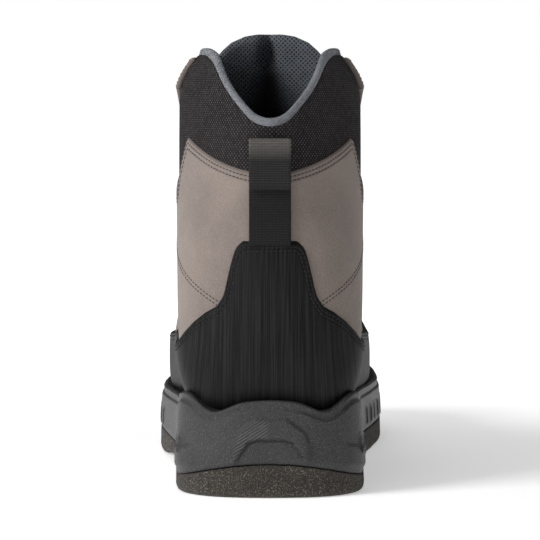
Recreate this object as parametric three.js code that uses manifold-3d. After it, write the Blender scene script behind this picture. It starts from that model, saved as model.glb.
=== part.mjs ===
// A wading boot for the left foot, as an assembly of its separate pieces.
// Millimetres, +Z up, the toe towards +Y, the outer (lateral) side towards -X.
// The origin is on the floor under the middle of the heel.
import * as THREE from 'three';
import { mergeVertices } from 'three/addons/utils/BufferGeometryUtils.js';
import Module from 'manifold-3d';

const wasm = await Module();
wasm.setup();

// Driving sizes of the boot
const LENGTH = 310; // outsole, heel back to toe tip
const BALL_WIDTH = 112; // outsole across the ball
const HEEL_WIDTH = 86; // outsole across the heel
const SHAFT_WIDTH = 85; // shaft across the collar panel
const HEIGHT = 208; // floor to the top of the tongue
const TOE_HEIGHT = 66; // floor to the top of the toe box
const COLLAR_BACK = 167; // floor to the collar at the heel
const COLLAR_PEAK = 198; // floor to the collar at the throat
const HEEL_SEAT = 31; // floor to the upper's underside at the heel
const BALL_SEAT = 22; // floor to the upper's underside at the ball
const TOE_SPRING = 9; // lift of the outsole's toe tip
const ARCH_LIFT = 4; // lift of the outsole under the arch
const FELT = 12; // felt at the forefoot
const FELT_BACK = 15; // felt at the middle of the heel's back
const FELT_CORNER = 7.5; // felt at the heel's corners
const HEEL_CENTRE = 45; // heel back to the origin

// Walls and layers
const GAP = 0.3; // clearance between pieces that meet
const SEAT = 0.25; // what a flat piece needs over the rounded one it lies on
const WALL = 2.4; // the upper's wall at the collar panel
const PANEL = 1.2; // step of the quarters and vamp over the collar panel
const OVERLAY = 1.7; // counter and toe rand
const STAY = 1.2; // eyestays
const TONGUE = 5; // padded tongue
const LINING = 2.8; // padded collar lining
const LINING_DEPTH = 34; // lining inside the collar
const ROLL = 2.6; // lining rolled above the collar edge
const INSOLE = 5;
const MARGIN = 12; // lasting margin left round the bottom opening

// Midsole wall
const HEEL_CREST = 44; // wall top at the middle of the heel's back
const CUP_FRONT = 33; // wall top at the forefoot
const STEP_DROP = 4.2; // wall top down to the parallel step
const STEP_DEPTH = 1; // how far the wall steps in above it
const SLOT_WIDTH = 4.4;
const SLOT_HEIGHT = 7;
const SLOT_DEPTH = 1.6;
const SLOT_SINK = 0.9; // outline in to the middle of a slot's cutter
const SLOT_PITCH = 12.5;
const SLOTS = 7; // slots on each side of the forefoot
const RELIEF = 1.1; // moulded relief on the heel
const RELIEF_TOP = HEEL_CREST - 1.6 * STEP_DROP; // height that the relief's shares are taken of

// Throat, laces and loop
const THROAT_TOP = 32; // half width at the collar
const THROAT_END = 104; // floor to the throat's lower end
const THROAT_TOE = 13; // half width near its lower end
const STAY_WIDTH = 15;
const LACE_RADIUS = 1.4;
const LACE_SIDES = 6; // faces round the lace
const HOOK_WIDTH = 6;
const HOOK_REACH = 8;
const HOOK_METAL = 1.1;
const HOOK_ROOM = 3.5; // free height under a hook's arm
const LOOP_WIDTH = 19;
const LOOP_TOP = 161; // floor to the loop's fold
const LOOP_SEAM = 138; // floor to the seam under the loop
const WEBBING = 1.6;
const LOOP_BOW = 6.5; // free gap behind the loop

// Faces round and along the upper's form
const ROUND_STEPS = 28;
const BODY_STEPS = 18;
const TOE_STEPS = 6;

const mix = (a, b, t) => a + (b - a) * t;
const clamp = (v, low, high) => Math.min(high, Math.max(low, v));
const smooth = (from, to, v) => {
  const t = clamp((v - from) / (to - from), 0, 1);
  return t * t * (3 - 2 * t);
};

// A smooth curve through a column of a table, read at a fractional row
function column(rows, name, at) {
  const last = rows.length - 1;
  const i = clamp(Math.floor(at), 0, last - 1);
  const t = at - i;
  const read = (k) => rows[clamp(k, 0, last)][name];
  const [a, b, c, d] = [read(i - 1), read(i), read(i + 1), read(i + 2)];
  const m = (c - a) / 2;
  const n = (d - b) / 2;
  const [t2, t3] = [t * t, t * t * t];
  return (2 * t3 - 3 * t2 + 1) * b + (t3 - 2 * t2 + t) * m + (3 * t2 - 2 * t3) * c + (t3 - t2) * n;
}

// The fractional row of a table whose key column rises, for a given key
function rowAt(rows, key, value) {
  let i = 0;
  while (i < rows.length - 2 && rows[i + 1][key] < value) i += 1;
  return i + clamp((value - rows[i][key]) / (rows[i + 1][key] - rows[i][key]), 0, 1);
}

// Outline of the sole: half widths as shares of the width that each row follows
const SOLE_ROWS = [
  { along: 0.0, ball: 0, lateral: 0.485, medial: 0.485 },
  { along: 0.1, ball: 0, lateral: 0.5, medial: 0.5 },
  { along: 0.22, ball: 0.1, lateral: 0.497, medial: 0.487 },
  { along: 0.34, ball: 0.4, lateral: 0.478, medial: 0.45 },
  { along: 0.45, ball: 0.8, lateral: 0.478, medial: 0.432 },
  { along: 0.56, ball: 1, lateral: 0.492, medial: 0.465 },
  { along: 0.67, ball: 1, lateral: 0.487, medial: 0.508 },
  { along: 0.79, ball: 1, lateral: 0.45, medial: 0.502 },
  { along: 0.9, ball: 1, lateral: 0.395, medial: 0.465 },
  { along: 1.0, ball: 1, lateral: 0.34, medial: 0.425 },
];
const HEEL_ROUND = { depth: 33, power: 2.5 };
const TOE_ROUND = { depth: 72, power: 2.4 };

// Rounded end: 0 at the tip, 1 where the end's depth is passed
const roundEnd = (distance, depth, power) => {
  const t = clamp(distance / depth, 0, 1);
  return (1 - (1 - t) ** power) ** (1 / power);
};

function soleHalf(y) {
  const at = rowAt(SOLE_ROWS, 'along', y / LENGTH);
  const width = mix(HEEL_WIDTH, BALL_WIDTH, clamp(column(SOLE_ROWS, 'ball', at), 0, 1));
  const lateral = column(SOLE_ROWS, 'lateral', at) * width;
  const medial = column(SOLE_ROWS, 'medial', at) * width;
  const ends = roundEnd(y, HEEL_ROUND.depth, HEEL_ROUND.power)
    * roundEnd(LENGTH - y, TOE_ROUND.depth, TOE_ROUND.power);
  return { centre: (medial - lateral) / 2, half: ends * (medial + lateral) / 2 };
}

// Stations from the heel back to the toe tip, closer together round the ends
const SOLE_ENDS = 7;
const SOLE_MIDDLE = 12;
const soleStations = [];
for (let k = 0; k < SOLE_ENDS; k += 1) {
  soleStations.push(HEEL_ROUND.depth * (1 - Math.cos((k / SOLE_ENDS) * Math.PI / 2)));
}
for (let k = 0; k <= SOLE_MIDDLE; k += 1) {
  soleStations.push(mix(HEEL_ROUND.depth, LENGTH - TOE_ROUND.depth, k / SOLE_MIDDLE));
}
for (let k = SOLE_ENDS - 1; k >= 0; k -= 1) {
  soleStations.push(LENGTH - TOE_ROUND.depth * (1 - Math.cos((k / SOLE_ENDS) * Math.PI / 2)));
}
const LAST_STATION = soleStations.length - 1;

// Points round the outline: heel back, medial side, toe tip, lateral side
function soleOutline() {
  const side = (sign) => soleStations.map((y, i) => {
    const { centre, half } = soleHalf(y);
    return { x: centre + sign * half, y, station: i, share: 0 };
  });
  const medial = side(1);
  const lateral = side(-1).slice(1, LAST_STATION).reverse();
  for (const line of [medial, [...side(-1)]]) {
    let run = 0;
    line.forEach((p, i) => {
      if (i > 0) run += Math.hypot(p.x - line[i - 1].x, p.y - line[i - 1].y);
      p.share = run;
    });
    line.forEach((p) => { p.share /= run; });
    if (line !== medial) lateral.forEach((p) => { p.share = line[p.station].share; });
  }
  const points = [...medial, ...lateral];
  points.forEach((p, i) => {
    const a = points[(i + points.length - 1) % points.length];
    const b = points[(i + 1) % points.length];
    const length = Math.hypot(b.x - a.x, b.y - a.y);
    p.nx = (b.y - a.y) / length;
    p.ny = -(b.x - a.x) / length;
  });
  return points;
}
const OUTLINE = soleOutline();

// Heights that follow the outline
const springAt = (y) => TOE_SPRING * clamp((y / LENGTH - 0.7) / 0.3, 0, 1) ** 2;
const archAt = (y) => ARCH_LIFT * smooth(0.24, 0.33, y / LENGTH) * (1 - smooth(0.42, 0.52, y / LENGTH));
const soleBottom = (p) => springAt(p.y) + archAt(p.y);
const seatAt = (y) => mix(HEEL_SEAT, BALL_SEAT, smooth(0.22, 0.56, y / LENGTH)) + springAt(y);

function feltTop(p) {
  const { centre } = soleHalf(p.y);
  const across = clamp(Math.abs(p.x - centre) / (HEEL_WIDTH / 2), 0, 1);
  const heel = mix(FELT_BACK, FELT_CORNER, across * across);
  return mix(heel, FELT, smooth(0.07, 0.2, p.y / LENGTH)) + springAt(p.y);
}

// The wavy top of the midsole wall, by the share of the way from heel back to toe tip
const WALL_ROWS = [
  { share: 0.0, rise: 1.0 },
  { share: 0.035, rise: 0.9 },
  { share: 0.075, rise: 0.52 },
  { share: 0.125, rise: 1.2 },
  { share: 0.19, rise: 0.75 },
  { share: 0.32, rise: 0.3 },
  { share: 0.46, rise: 0.1 },
  { share: 0.62, rise: 0.0 },
  { share: 0.78, rise: 0.05 },
  { share: 0.9, rise: 0.25 },
  { share: 1.0, rise: 0.45 },
];
const wallTop = (p) => {
  const rise = column(WALL_ROWS, 'rise', rowAt(WALL_ROWS, 'share', p.share));
  return CUP_FRONT + (HEEL_CREST - CUP_FRONT) * rise + springAt(p.y);
};

// A closed body from rings of points, listed from one end to the other
function bodyOfRings(rings, capStart, capEnd) {
  const positions = rings.flat(2);
  const count = rings[0].length;
  const index = [];
  for (let k = 0; k < rings.length - 1; k += 1) {
    for (let i = 0; i < count; i += 1) {
      const j = (i + 1) % count;
      const [a, b] = [k * count + i, k * count + j];
      index.push(a, b, b + count, a, b + count, a + count);
    }
  }
  for (const [a, b, c] of capStart) index.push(a, c, b);
  const last = (rings.length - 1) * count;
  for (const [a, b, c] of capEnd) index.push(last + a, last + b, last + c);
  const geometry = new THREE.BufferGeometry();
  geometry.setAttribute('position', new THREE.Float32BufferAttribute(positions, 3));
  geometry.setIndex(index);
  return geometry;
}

function turnedOut(geometry) {
  const p = geometry.attributes.position;
  const index = geometry.index.array;
  const [a, b, c] = [new THREE.Vector3(), new THREE.Vector3(), new THREE.Vector3()];
  let volume = 0;
  for (let i = 0; i < index.length; i += 3) {
    a.fromBufferAttribute(p, index[i]);
    b.fromBufferAttribute(p, index[i + 1]);
    c.fromBufferAttribute(p, index[i + 2]);
    volume += a.dot(b.cross(c));
  }
  if (volume < 0) {
    for (let i = 0; i < index.length; i += 3) {
      [index[i + 1], index[i + 2]] = [index[i + 2], index[i + 1]];
    }
  }
  return geometry;
}

// A three.js geometry as a solid for cutting and joining
function solid(geometry) {
  const bare = geometry.clone();
  for (const name of ['normal', 'uv']) bare.deleteAttribute(name);
  const merged = turnedOut(mergeVertices(bare, 1e-4));
  return new wasm.Manifold(new wasm.Mesh({
    numProp: 3,
    vertProperties: new Float32Array(merged.attributes.position.array),
    triVerts: new Uint32Array(merged.index.array),
  }));
}

// Strips across the outline close a sole piece's top and bottom
const soleCap = [];
for (let i = 0; i < LAST_STATION; i += 1) {
  const lateral = (k) => (k === 0 || k === LAST_STATION ? k : 2 * LAST_STATION - k);
  const [a, b, c, d] = [i, i + 1, lateral(i + 1), lateral(i)];
  if (b !== c) soleCap.push([a, b, c]);
  if (a !== d) soleCap.push([a, c, d]);
}

// A sole piece: rings of the outline, each set in by an amount, at a height
function soleBody(levels) {
  const rings = levels.map(({ inset, height }) => OUTLINE.map((p) => [
    p.x - p.nx * inset, p.y - p.ny * inset, height(p),
  ]));
  return solid(bodyOfRings(rings, soleCap, soleCap));
}

// The form of the foot and shaft, as sections that fan from the toe round to the collar.
// Each runs from a point on the bottom or back to a point on the top or front.
// sole, front: shares of the length. rise, top: shares of the height over the seat and the toe box.
// lateral, medial: half widths, shares of the ball width or, as far as shaft says, the shaft width.
// wide: where along the section it is widest. low, high: how square its two halves are.
const FORM_ROWS = [
  { sole: 0.968, rise: 0, front: 0.968, top: 0.0, shaft: 0, lateral: 0.3, medial: 0.385, wide: 0.35, low: 3.4, high: 2.3 },
  { sole: 0.81, rise: 0, front: 0.81, top: 0.07, shaft: 0, lateral: 0.375, medial: 0.42, wide: 0.35, low: 4, high: 2.4 },
  { sole: 0.66, rise: 0, front: 0.66, top: 0.15, shaft: 0, lateral: 0.42, medial: 0.43, wide: 0.36, low: 4, high: 2.3 },
  { sole: 0.55, rise: 0, front: 0.555, top: 0.245, shaft: 0.1, lateral: 0.432, medial: 0.415, wide: 0.38, low: 4, high: 2.2 },
  { sole: 0.42, rise: 0, front: 0.484, top: 0.385, shaft: 0.4, lateral: 0.43, medial: 0.41, wide: 0.42, low: 3.8, high: 2.1 },
  { sole: 0.29, rise: 0, front: 0.443, top: 0.55, shaft: 0.8, lateral: 0.461, medial: 0.449, wide: 0.46, low: 3.5, high: 2.1 },
  { sole: 0.161, rise: 0, front: 0.414, top: 0.7, shaft: 1, lateral: 0.482, medial: 0.478, wide: 0.48, low: 4.2, high: 2.1 },
  { sole: 0.05, rise: 0.022, front: 0.4, top: 0.84, shaft: 1, lateral: 0.487, medial: 0.487, wide: 0.46, low: 3.9, high: 2.1 },
  { sole: 0.019, rise: 0.165, front: 0.394, top: 0.945, shaft: 1, lateral: 0.493, medial: 0.493, wide: 0.5, low: 2.8, high: 2.1 },
  { sole: 0.027, rise: 0.39, front: 0.394, top: 1.03, shaft: 1, lateral: 0.498, medial: 0.498, wide: 0.57, low: 2.35, high: 2.2 },
  { sole: 0.041, rise: 0.616, front: 0.4, top: 1.118, shaft: 1, lateral: 0.5, medial: 0.5, wide: 0.72, low: 1.92, high: 2.2 },
  { sole: 0.043, rise: 0.842, front: 0.406, top: 1.22, shaft: 1, lateral: 0.5, medial: 0.5, wide: 0.85, low: 1.63, high: 2.2 },
  { sole: 0.039, rise: 1.1, front: 0.413, top: 1.33, shaft: 1, lateral: 0.503, medial: 0.503, wide: 0.88, low: 1.6, high: 2.2 },
];
const TOE_WIDE = { depth: 66, power: 2.2 };
const TOE_TALL = { depth: 38, power: 2.4 };
const LAST_ROW = FORM_ROWS.length - 1;

// One section, moved out by an amount at its sides and top and by another at its bottom
function section(at, out = 0, under = out) {
  const read = (name) => column(FORM_ROWS, name, at);
  const toe = 1 - smooth(0, 2, at);
  const bottomY = read('sole') * LENGTH;
  const distance = FORM_ROWS[0].sole * LENGTH - bottomY;
  const bottom = new THREE.Vector2(bottomY, seatAt(bottomY) + read('rise') * (HEIGHT - HEEL_SEAT));
  const top = new THREE.Vector2(read('front') * LENGTH, mix(TOE_HEIGHT, HEIGHT, read('top')));
  const tall = roundEnd(distance, TOE_TALL.depth, TOE_TALL.power);
  top.y = mix(bottom.y + 0.25 * (top.y - bottom.y), top.y, tall);
  const along = top.clone().sub(bottom).normalize();
  const shut = roundEnd(distance, TOE_WIDE.depth, TOE_WIDE.power);
  bottom.addScaledVector(along, -mix(under, out, smooth(6.5, 8.5, at)) * shut);
  top.addScaledVector(along, out * shut);
  bottom.x += out * toe;
  top.x += out * toe;
  const width = mix(BALL_WIDTH, SHAFT_WIDTH, clamp(read('shaft'), 0, 1));
  const lateral = read('lateral') * width;
  const medial = read('medial') * width;
  return {
    bottom,
    top,
    centre: (medial - lateral) / 2,
    half: ((medial + lateral) / 2 + out) * shut,
    wide: read('wide'),
    low: read('low'),
    high: read('high'),
  };
}

// A point of a section: turn 0 at its top, a quarter at the medial side, half at its bottom
function sectionPoint(s, turn) {
  const angle = turn * 2 * Math.PI;
  const [sin, cos] = [Math.sin(angle), Math.cos(angle)];
  const power = cos >= 0 ? s.high : s.low;
  const reach = (Math.abs(sin) ** power + Math.abs(cos) ** power) ** (-1 / power);
  const t = s.wide + (cos >= 0 ? 1 - s.wide : s.wide) * cos * reach;
  return [s.centre + s.half * sin * reach, mix(s.bottom.x, s.top.x, t), mix(s.bottom.y, s.top.y, t)];
}

const formRows = [];
for (let k = 0; k <= TOE_STEPS; k += 1) {
  formRows.push(1.4 * (1 - Math.cos((k / TOE_STEPS) * Math.PI / 2)));
}
for (let k = 1; k <= BODY_STEPS; k += 1) {
  formRows.push(mix(1.4, LAST_ROW, k / BODY_STEPS));
}

function form(out = 0, under = out) {
  const rings = formRows.map((at, k) => {
    const s = section(at, out, under);
    const ring = [];
    for (let i = 0; i < ROUND_STEPS; i += 1) ring.push(sectionPoint(s, i / ROUND_STEPS));
    return k === 0 ? ring.map(() => [s.centre, s.bottom.x, mix(s.bottom.y, s.top.y, 0.5)]) : ring;
  });
  const fan = [];
  for (let i = 1; i < ROUND_STEPS - 1; i += 1) fan.push([0, i, i + 1]);
  return solid(bodyOfRings(rings, [], fan));
}

// The point of the form's front that has a given x and height
function frontPoint(x, z, out) {
  let [low, high] = [2.2, LAST_ROW];
  const point = (at) => {
    const s = section(at, out);
    const q = clamp(Math.abs(x - s.centre) / s.half, 0, 1);
    const t = s.wide + (1 - s.wide) * (1 - q ** s.high) ** (1 / s.high);
    return new THREE.Vector3(x, mix(s.bottom.x, s.top.x, t), mix(s.bottom.y, s.top.y, t));
  };
  for (let k = 0; k < 40; k += 1) {
    const middle = (low + high) / 2;
    if (point(middle).z < z) low = middle;
    else high = middle;
  }
  return point(low);
}

// The form's back line at a height
function backLine(z, out) {
  let [low, high] = [7, LAST_ROW];
  for (let k = 0; k < 40; k += 1) {
    const middle = (low + high) / 2;
    if (section(middle, out).bottom.y < z) low = middle;
    else high = middle;
  }
  return section(low, out).bottom.x;
}

// Prisms: an outline seen from behind, run along Y, or seen from the side, run along X
const FAR = 600;
const BEHIND = -60; // well behind the heel, for cuts that leave the front alone
function shapeOf(points) {
  return new THREE.Shape(points.map(([a, b]) => new THREE.Vector2(a, b)));
}
function prismBack(points, from, to) {
  const g = new THREE.ExtrudeGeometry(shapeOf(points), { depth: to - from, bevelEnabled: false });
  g.rotateX(Math.PI / 2);
  g.translate(0, to, 0);
  return solid(g);
}
function prismSide(points, from, to) {
  const g = new THREE.ExtrudeGeometry(shapeOf(points), { depth: to - from, bevelEnabled: false });
  const turn = new THREE.Matrix4().makeBasis(
    new THREE.Vector3(0, 1, 0), new THREE.Vector3(0, 0, 1), new THREE.Vector3(1, 0, 0));
  g.applyMatrix4(turn);
  g.translate(from, 0, 0);
  return solid(g);
}
const smoothLine = (points, steps) => new THREE.SplineCurve(
  points.map(([a, b]) => new THREE.Vector2(a, b))).getPoints(steps).map((p) => [p.x, p.y]);

// Collar edge seen from the side: share of the length, share of the way from back to peak
const COLLAR_ROWS = [
  { along: -0.1, rise: 0 },
  { along: 0.035, rise: 0 },
  { along: 0.065, rise: 0.2 },
  { along: 0.103, rise: 0.52 },
  { along: 0.145, rise: 0.84 },
  { along: 0.2, rise: 0.97 },
  { along: 0.258, rise: 1 },
  { along: 0.306, rise: 0.97 },
  { along: 0.35, rise: 0.86 },
  { along: 0.4, rise: 0.7 },
  { along: 0.5, rise: 0.6 },
];
const COLLAR_STEPS = 20;
function aboveCollar(lift) {
  const edge = smoothLine(COLLAR_ROWS.map(({ along, rise }) => [
    along * LENGTH, mix(COLLAR_BACK, COLLAR_PEAK, rise) + lift,
  ]), COLLAR_STEPS);
  const [first, last] = [edge[0], edge[edge.length - 1]];
  return prismSide([...edge, [last[0], FAR], [first[0], FAR]], -FAR, FAR);
}

// Throat seen from the front, wider or narrower by an amount
const throatHalf = (z) => mix(THROAT_TOE, THROAT_TOP, clamp((z - THROAT_END) / (COLLAR_PEAK - THROAT_END), 0, 1) ** 0.8);
const THROAT_START = 0.26 * LENGTH;
function throat(extra, top = FAR, end = THROAT_END) {
  const levels = [];
  for (let k = 0; k <= 6; k += 1) levels.push(mix(end, COLLAR_PEAK + ROLL + 12, k / 6));
  const side = levels.map((z) => [throatHalf(z) + extra, z]);
  side[0][0] *= 0.7;
  side.push([side[side.length - 1][0], top]);
  const other = side.map(([x, z]) => [-x, z]).reverse();
  return prismBack([...side, ...other], THROAT_START, FAR);
}

// Quarters and vamp seen from the side: their edge against the collar panel
const PANEL_ROWS = [
  { along: -0.1, up: 0.83 },
  { along: 0.038, up: 0.83 },
  { along: 0.09, up: 0.878 },
  { along: 0.16, up: 0.948 },
  { along: 0.166, up: 0.75 },
  { along: 0.22, up: 0.8 },
  { along: 0.26, up: 0.84 },
  { along: 0.31, up: 0.91 },
  { along: 0.345, up: 1.1 },
  { along: 0.38, up: 1.7 },
];
// Shares of the way from the heel seat to the collar's height at the back
const panelZ = (up) => mix(HEEL_SEAT, COLLAR_BACK, up);
const panelEdge = PANEL_ROWS.map(({ along, up }) => [along * LENGTH, panelZ(up)]);
const panelSide = prismSide(
  [[-FAR, -FAR], [FAR, -FAR], [FAR, FAR], [panelEdge[panelEdge.length - 1][0], FAR],
    ...[...panelEdge].reverse(), [-FAR, panelEdge[0][1]]], -FAR, FAR);

const bottomHole = soleBody([
  { inset: MARGIN + 4, height: () => -FAR },
  { inset: MARGIN + 4, height: (p) => seatAt(p.y) + WALL + 6 },
]);

function makeUpper() {
  const outer = form(0).add(form(PANEL, 0).intersect(panelSide));
  return outer.subtract(form(-WALL)).subtract(aboveCollar(0)).subtract(throat(0)).subtract(bottomHole);
}

// Counter: its outline seen from behind, half of it, as shares of the heel width and height
const COUNTER_ROWS = [
  { across: 0, up: 0.545 },
  { across: 0.15, up: 0.545 },
  { across: 0.185, up: 0.53 },
  { across: 0.203, up: 0.508 },
  { across: 0.235, up: 0.466 },
  { across: 0.28, up: 0.418 },
  { across: 0.345, up: 0.392 },
  { across: 0.42, up: 0.366 },
  { across: 0.48, up: 0.343 },
  { across: 0.53, up: 0.325 },
  { across: 0.7, up: 0.3 },
];
const COUNTER_END = 0.36 * LENGTH; // where the counter meets the toe rand
function makeCounter(skin) {
  const half = COUNTER_ROWS.map(({ across, up }) => [across * HEEL_WIDTH, up * HEIGHT]);
  const low = HEEL_SEAT + 3;
  const outline = [
    ...half, [half[half.length - 1][0], low], [-half[half.length - 1][0], low],
    ...[...half].reverse().slice(0, -1).map(([x, z]) => [-x, z]),
  ];
  return skin.intersect(prismBack(outline, BEHIND, COUNTER_END));
}

// Toe rand: its upper edge seen from the side
const RAND_ROWS = [
  { along: 0.36, up: 0.318 },
  { along: 0.45, up: 0.3 },
  { along: 0.56, up: 0.285 },
  { along: 0.68, up: 0.28 },
  { along: 0.76, up: 0.3 },
  { along: 0.82, up: 0.345 },
  { along: 0.86, up: 0.42 },
];
function makeRand(skin) {
  const edge = smoothLine(RAND_ROWS.map(({ along, up }) => [along * LENGTH, up * HEIGHT]), 12);
  edge[0][0] = COUNTER_END + GAP;
  const low = BALL_SEAT + 3;
  return skin.intersect(prismSide(
    [[edge[0][0], low], [FAR, low + 6], [FAR, edge[edge.length - 1][1]], ...edge.reverse()], -FAR, FAR))
    .subtract(soleBody([
      { inset: -20, height: () => -FAR },
      { inset: -20, height: (p) => seatAt(p.y) + 3 },
    ]));
}

// Relief on the heel's back, seen from behind: shares of the heel width and of the wall's height
const BAND_OUTER = [[-0.215, 0.62], [-0.17, 0.78], [-0.075, 0.96], [0.085, 0.96], [0.19, 0.72],
  [0.2, 0.64], [0.165, 0.42], [0.12, 0.5], [0.06, 0.66], [-0.075, 0.66], [-0.13, 0.52], [-0.17, 0.42]];
function heelRelief(body) {
  const place = ([across, up]) => [across * HEEL_WIDTH, up * RELIEF_TOP];
  return body(RELIEF).intersect(prismBack(BAND_OUTER.map(place), BEHIND, HEEL_ROUND.depth));
}

function makeMidsole() {
  const levels = (proud) => [
    { inset: 0.8 - proud, height: (p) => feltTop(p) + GAP },
    { inset: -proud, height: (p) => feltTop(p) + GAP + 2 },
    { inset: 0.5 - proud, height: (p) => mix(feltTop(p), wallTop(p), 0.6) },
    { inset: 0.8 - proud, height: (p) => wallTop(p) - STEP_DROP - 0.5 },
    { inset: 0.8 + STEP_DEPTH - proud, height: (p) => wallTop(p) - STEP_DROP },
    { inset: 1 + STEP_DEPTH - proud, height: (p) => wallTop(p) - 0.8 },
    { inset: 1.7 + STEP_DEPTH - proud, height: (p) => wallTop(p) },
  ];
  let midsole = soleBody(levels(0)).add(heelRelief((proud) => soleBody(levels(proud))));
  midsole = midsole.subtract(form(PANEL + GAP + OVERLAY + GAP, GAP));
  return midsole.subtract(slots());
}

// A row of upright slots in the forefoot's side wall, and two at each heel corner
function slots() {
  const cutters = [];
  const cutter = (target, sign, width) => {
    const side = OUTLINE.filter((p) => Math.sign(p.x - soleHalf(p.y).centre) === sign);
    side.sort((a, b) => a.share - b.share);
    let i = 1;
    while (i < side.length - 1 && side[i].share < target) i += 1;
    const [a, b] = [side[i - 1], side[i]];
    const t = (target - a.share) / (b.share - a.share);
    const at = { x: mix(a.x, b.x, t), y: mix(a.y, b.y, t) };
    const normal = new THREE.Vector3(mix(a.nx, b.nx, t), mix(a.ny, b.ny, t), 0).normalize();
    const middle = mix(feltTop({ ...a, ...at }), wallTop({ ...a, share: target, y: at.y }) - STEP_DROP, 0.42);
    const round = width / 2;
    const rise = SLOT_HEIGHT / 2 - round;
    const stadium = new THREE.Shape();
    for (const end of [1, -1]) {
      for (let k = 0; k <= 3; k += 1) {
        const a = (k / 3) * Math.PI;
        const [x, z] = [end * round * Math.cos(a), end * (rise + round * Math.sin(a))];
        if (end === 1 && k === 0) stadium.moveTo(x, z);
        else stadium.lineTo(x, z);
      }
    }
    const g = new THREE.ExtrudeGeometry(stadium, { depth: 2 * SLOT_DEPTH, bevelEnabled: false });
    g.translate(0, 0, -SLOT_DEPTH);
    const up = new THREE.Vector3(0, 0, 1);
    const acrossWall = new THREE.Vector3().crossVectors(up, normal);
    g.applyMatrix4(new THREE.Matrix4().makeBasis(acrossWall, up, normal));
    g.translate(at.x - normal.x * SLOT_SINK, at.y - normal.y * SLOT_SINK, middle);
    cutters.push(solid(g));
  };
  const pitch = SLOT_PITCH / (1.12 * LENGTH);
  for (const sign of [-1, 1]) {
    for (let k = 0; k < SLOTS; k += 1) cutter(0.5 + k * pitch, sign, SLOT_WIDTH);
    for (const share of [0.135, 0.16]) cutter(share, sign, SLOT_WIDTH * 0.8);
  }
  return wasm.Manifold.union(cutters);
}

function makeFelt() {
  return soleBody([
    { inset: 2.6, height: soleBottom },
    { inset: 0.7, height: (p) => soleBottom(p) + 1.3 },
    { inset: 0, height: (p) => soleBottom(p) + 3.4 },
    { inset: 0.2, height: (p) => feltTop(p) },
  ]);
}

function makeInsole() {
  const top = soleBody([
    { inset: -20, height: () => -FAR },
    { inset: -20, height: (p) => seatAt(p.y) + WALL + GAP + INSOLE },
  ]);
  return form(-WALL - GAP).intersect(top);
}

// Tongue: under the throat, a little wider than it, and taller than the collar
const TONGUE_LAP = 5;
const TONGUE_END = THROAT_END - 12;
// Its shoulders: shares of the throat's half width at the collar and of the tongue's height
const TONGUE_ROWS = [
  { across: 1.06, up: 0.885 },
  { across: 1.015, up: 0.904 },
  { across: 0.94, up: 0.921 },
  { across: 0.845, up: 0.9375 },
  { across: 0.72, up: 0.9615 },
  { across: 0.58, up: 0.981 },
  { across: 0.375, up: 0.995 },
  { across: 0.19, up: 1 },
];
function makeTongue() {
  const skin = form(-WALL - GAP).subtract(form(-WALL - GAP - TONGUE));
  const [first] = TONGUE_ROWS;
  const side = [];
  for (let k = 0; k <= 5; k += 1) {
    const z = mix(TONGUE_END, first.up * HEIGHT, k / 6);
    side.push([Math.min(first.across * THROAT_TOP, throatHalf(z) + TONGUE_LAP), z]);
  }
  for (const { across, up } of TONGUE_ROWS) side.push([across * THROAT_TOP, up * HEIGHT]);
  const other = side.map(([x, z]) => [-x, z]).reverse();
  return skin.intersect(prismBack([...side, ...other], THROAT_START, FAR));
}

// Lining: inside the collar and rolled over its edge
function makeLining() {
  const inner = form(-WALL - GAP - LINING);
  const inside = form(-WALL - GAP).subtract(inner).subtract(aboveCollar(ROLL)).intersect(aboveCollar(-LINING_DEPTH));
  const roll = form(-0.4).subtract(inner).subtract(aboveCollar(ROLL)).intersect(aboveCollar(GAP));
  return inside.add(roll).subtract(throat(TONGUE_LAP + 1.2)).subtract(throat(1));
}

// Eyestays: strips beside the throat, down to its lower end
function makeStay(sign) {
  const skin = form(PANEL + GAP + STAY).subtract(form(PANEL + GAP));
  const half = prismSide([[THROAT_START, THROAT_END - 8], [FAR, THROAT_END - 8], [FAR, FAR], [THROAT_START, FAR]],
    sign > 0 ? 1.5 : -FAR, sign > 0 ? FAR : -1.5);
  return skin.intersect(throat(STAY_WIDTH, FAR, THROAT_END - 8)).subtract(throat(0.4))
    .subtract(aboveCollar(-1)).intersect(half);
}

// Fasteners beside the throat: height share from its lower end to the collar, distance outside its edge
const FASTENERS = [
  { name: 'lace_loop_1', up: 0.06, out: 7, hook: false },
  { name: 'lace_loop_2', up: 0.19, out: 7, hook: false },
  { name: 'lace_loop_3', up: 0.33, out: 7, hook: false },
  { name: 'lace_hook_1', up: 0.5, out: 7, hook: true },
  { name: 'lace_hook_2', up: 0.68, out: 7, hook: true },
  { name: 'lace_hook_3', up: 0.86, out: 7, hook: true },
];
const STAY_OUT = PANEL + GAP + STAY;

// A frame on the eyestay: out of it, away from the throat, and up along it
function stayFrame({ up, out }, sign) {
  const z = mix(THROAT_END, COLLAR_PEAK, up);
  const x = sign * (throatHalf(z) + out);
  const at = frontPoint(x, z, STAY_OUT);
  const aside = frontPoint(x + sign * 0.5, z, STAY_OUT).sub(at);
  const above = frontPoint(x + sign * (throatHalf(z + 1) - throatHalf(z)), z + 1, STAY_OUT).sub(at).normalize();
  aside.addScaledVector(above, -aside.dot(above)).normalize();
  const normal = new THREE.Vector3().crossVectors(aside, above).multiplyScalar(sign).normalize();
  if (normal.y < 0) normal.negate();
  return { at, aside, above, normal };
}

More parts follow.
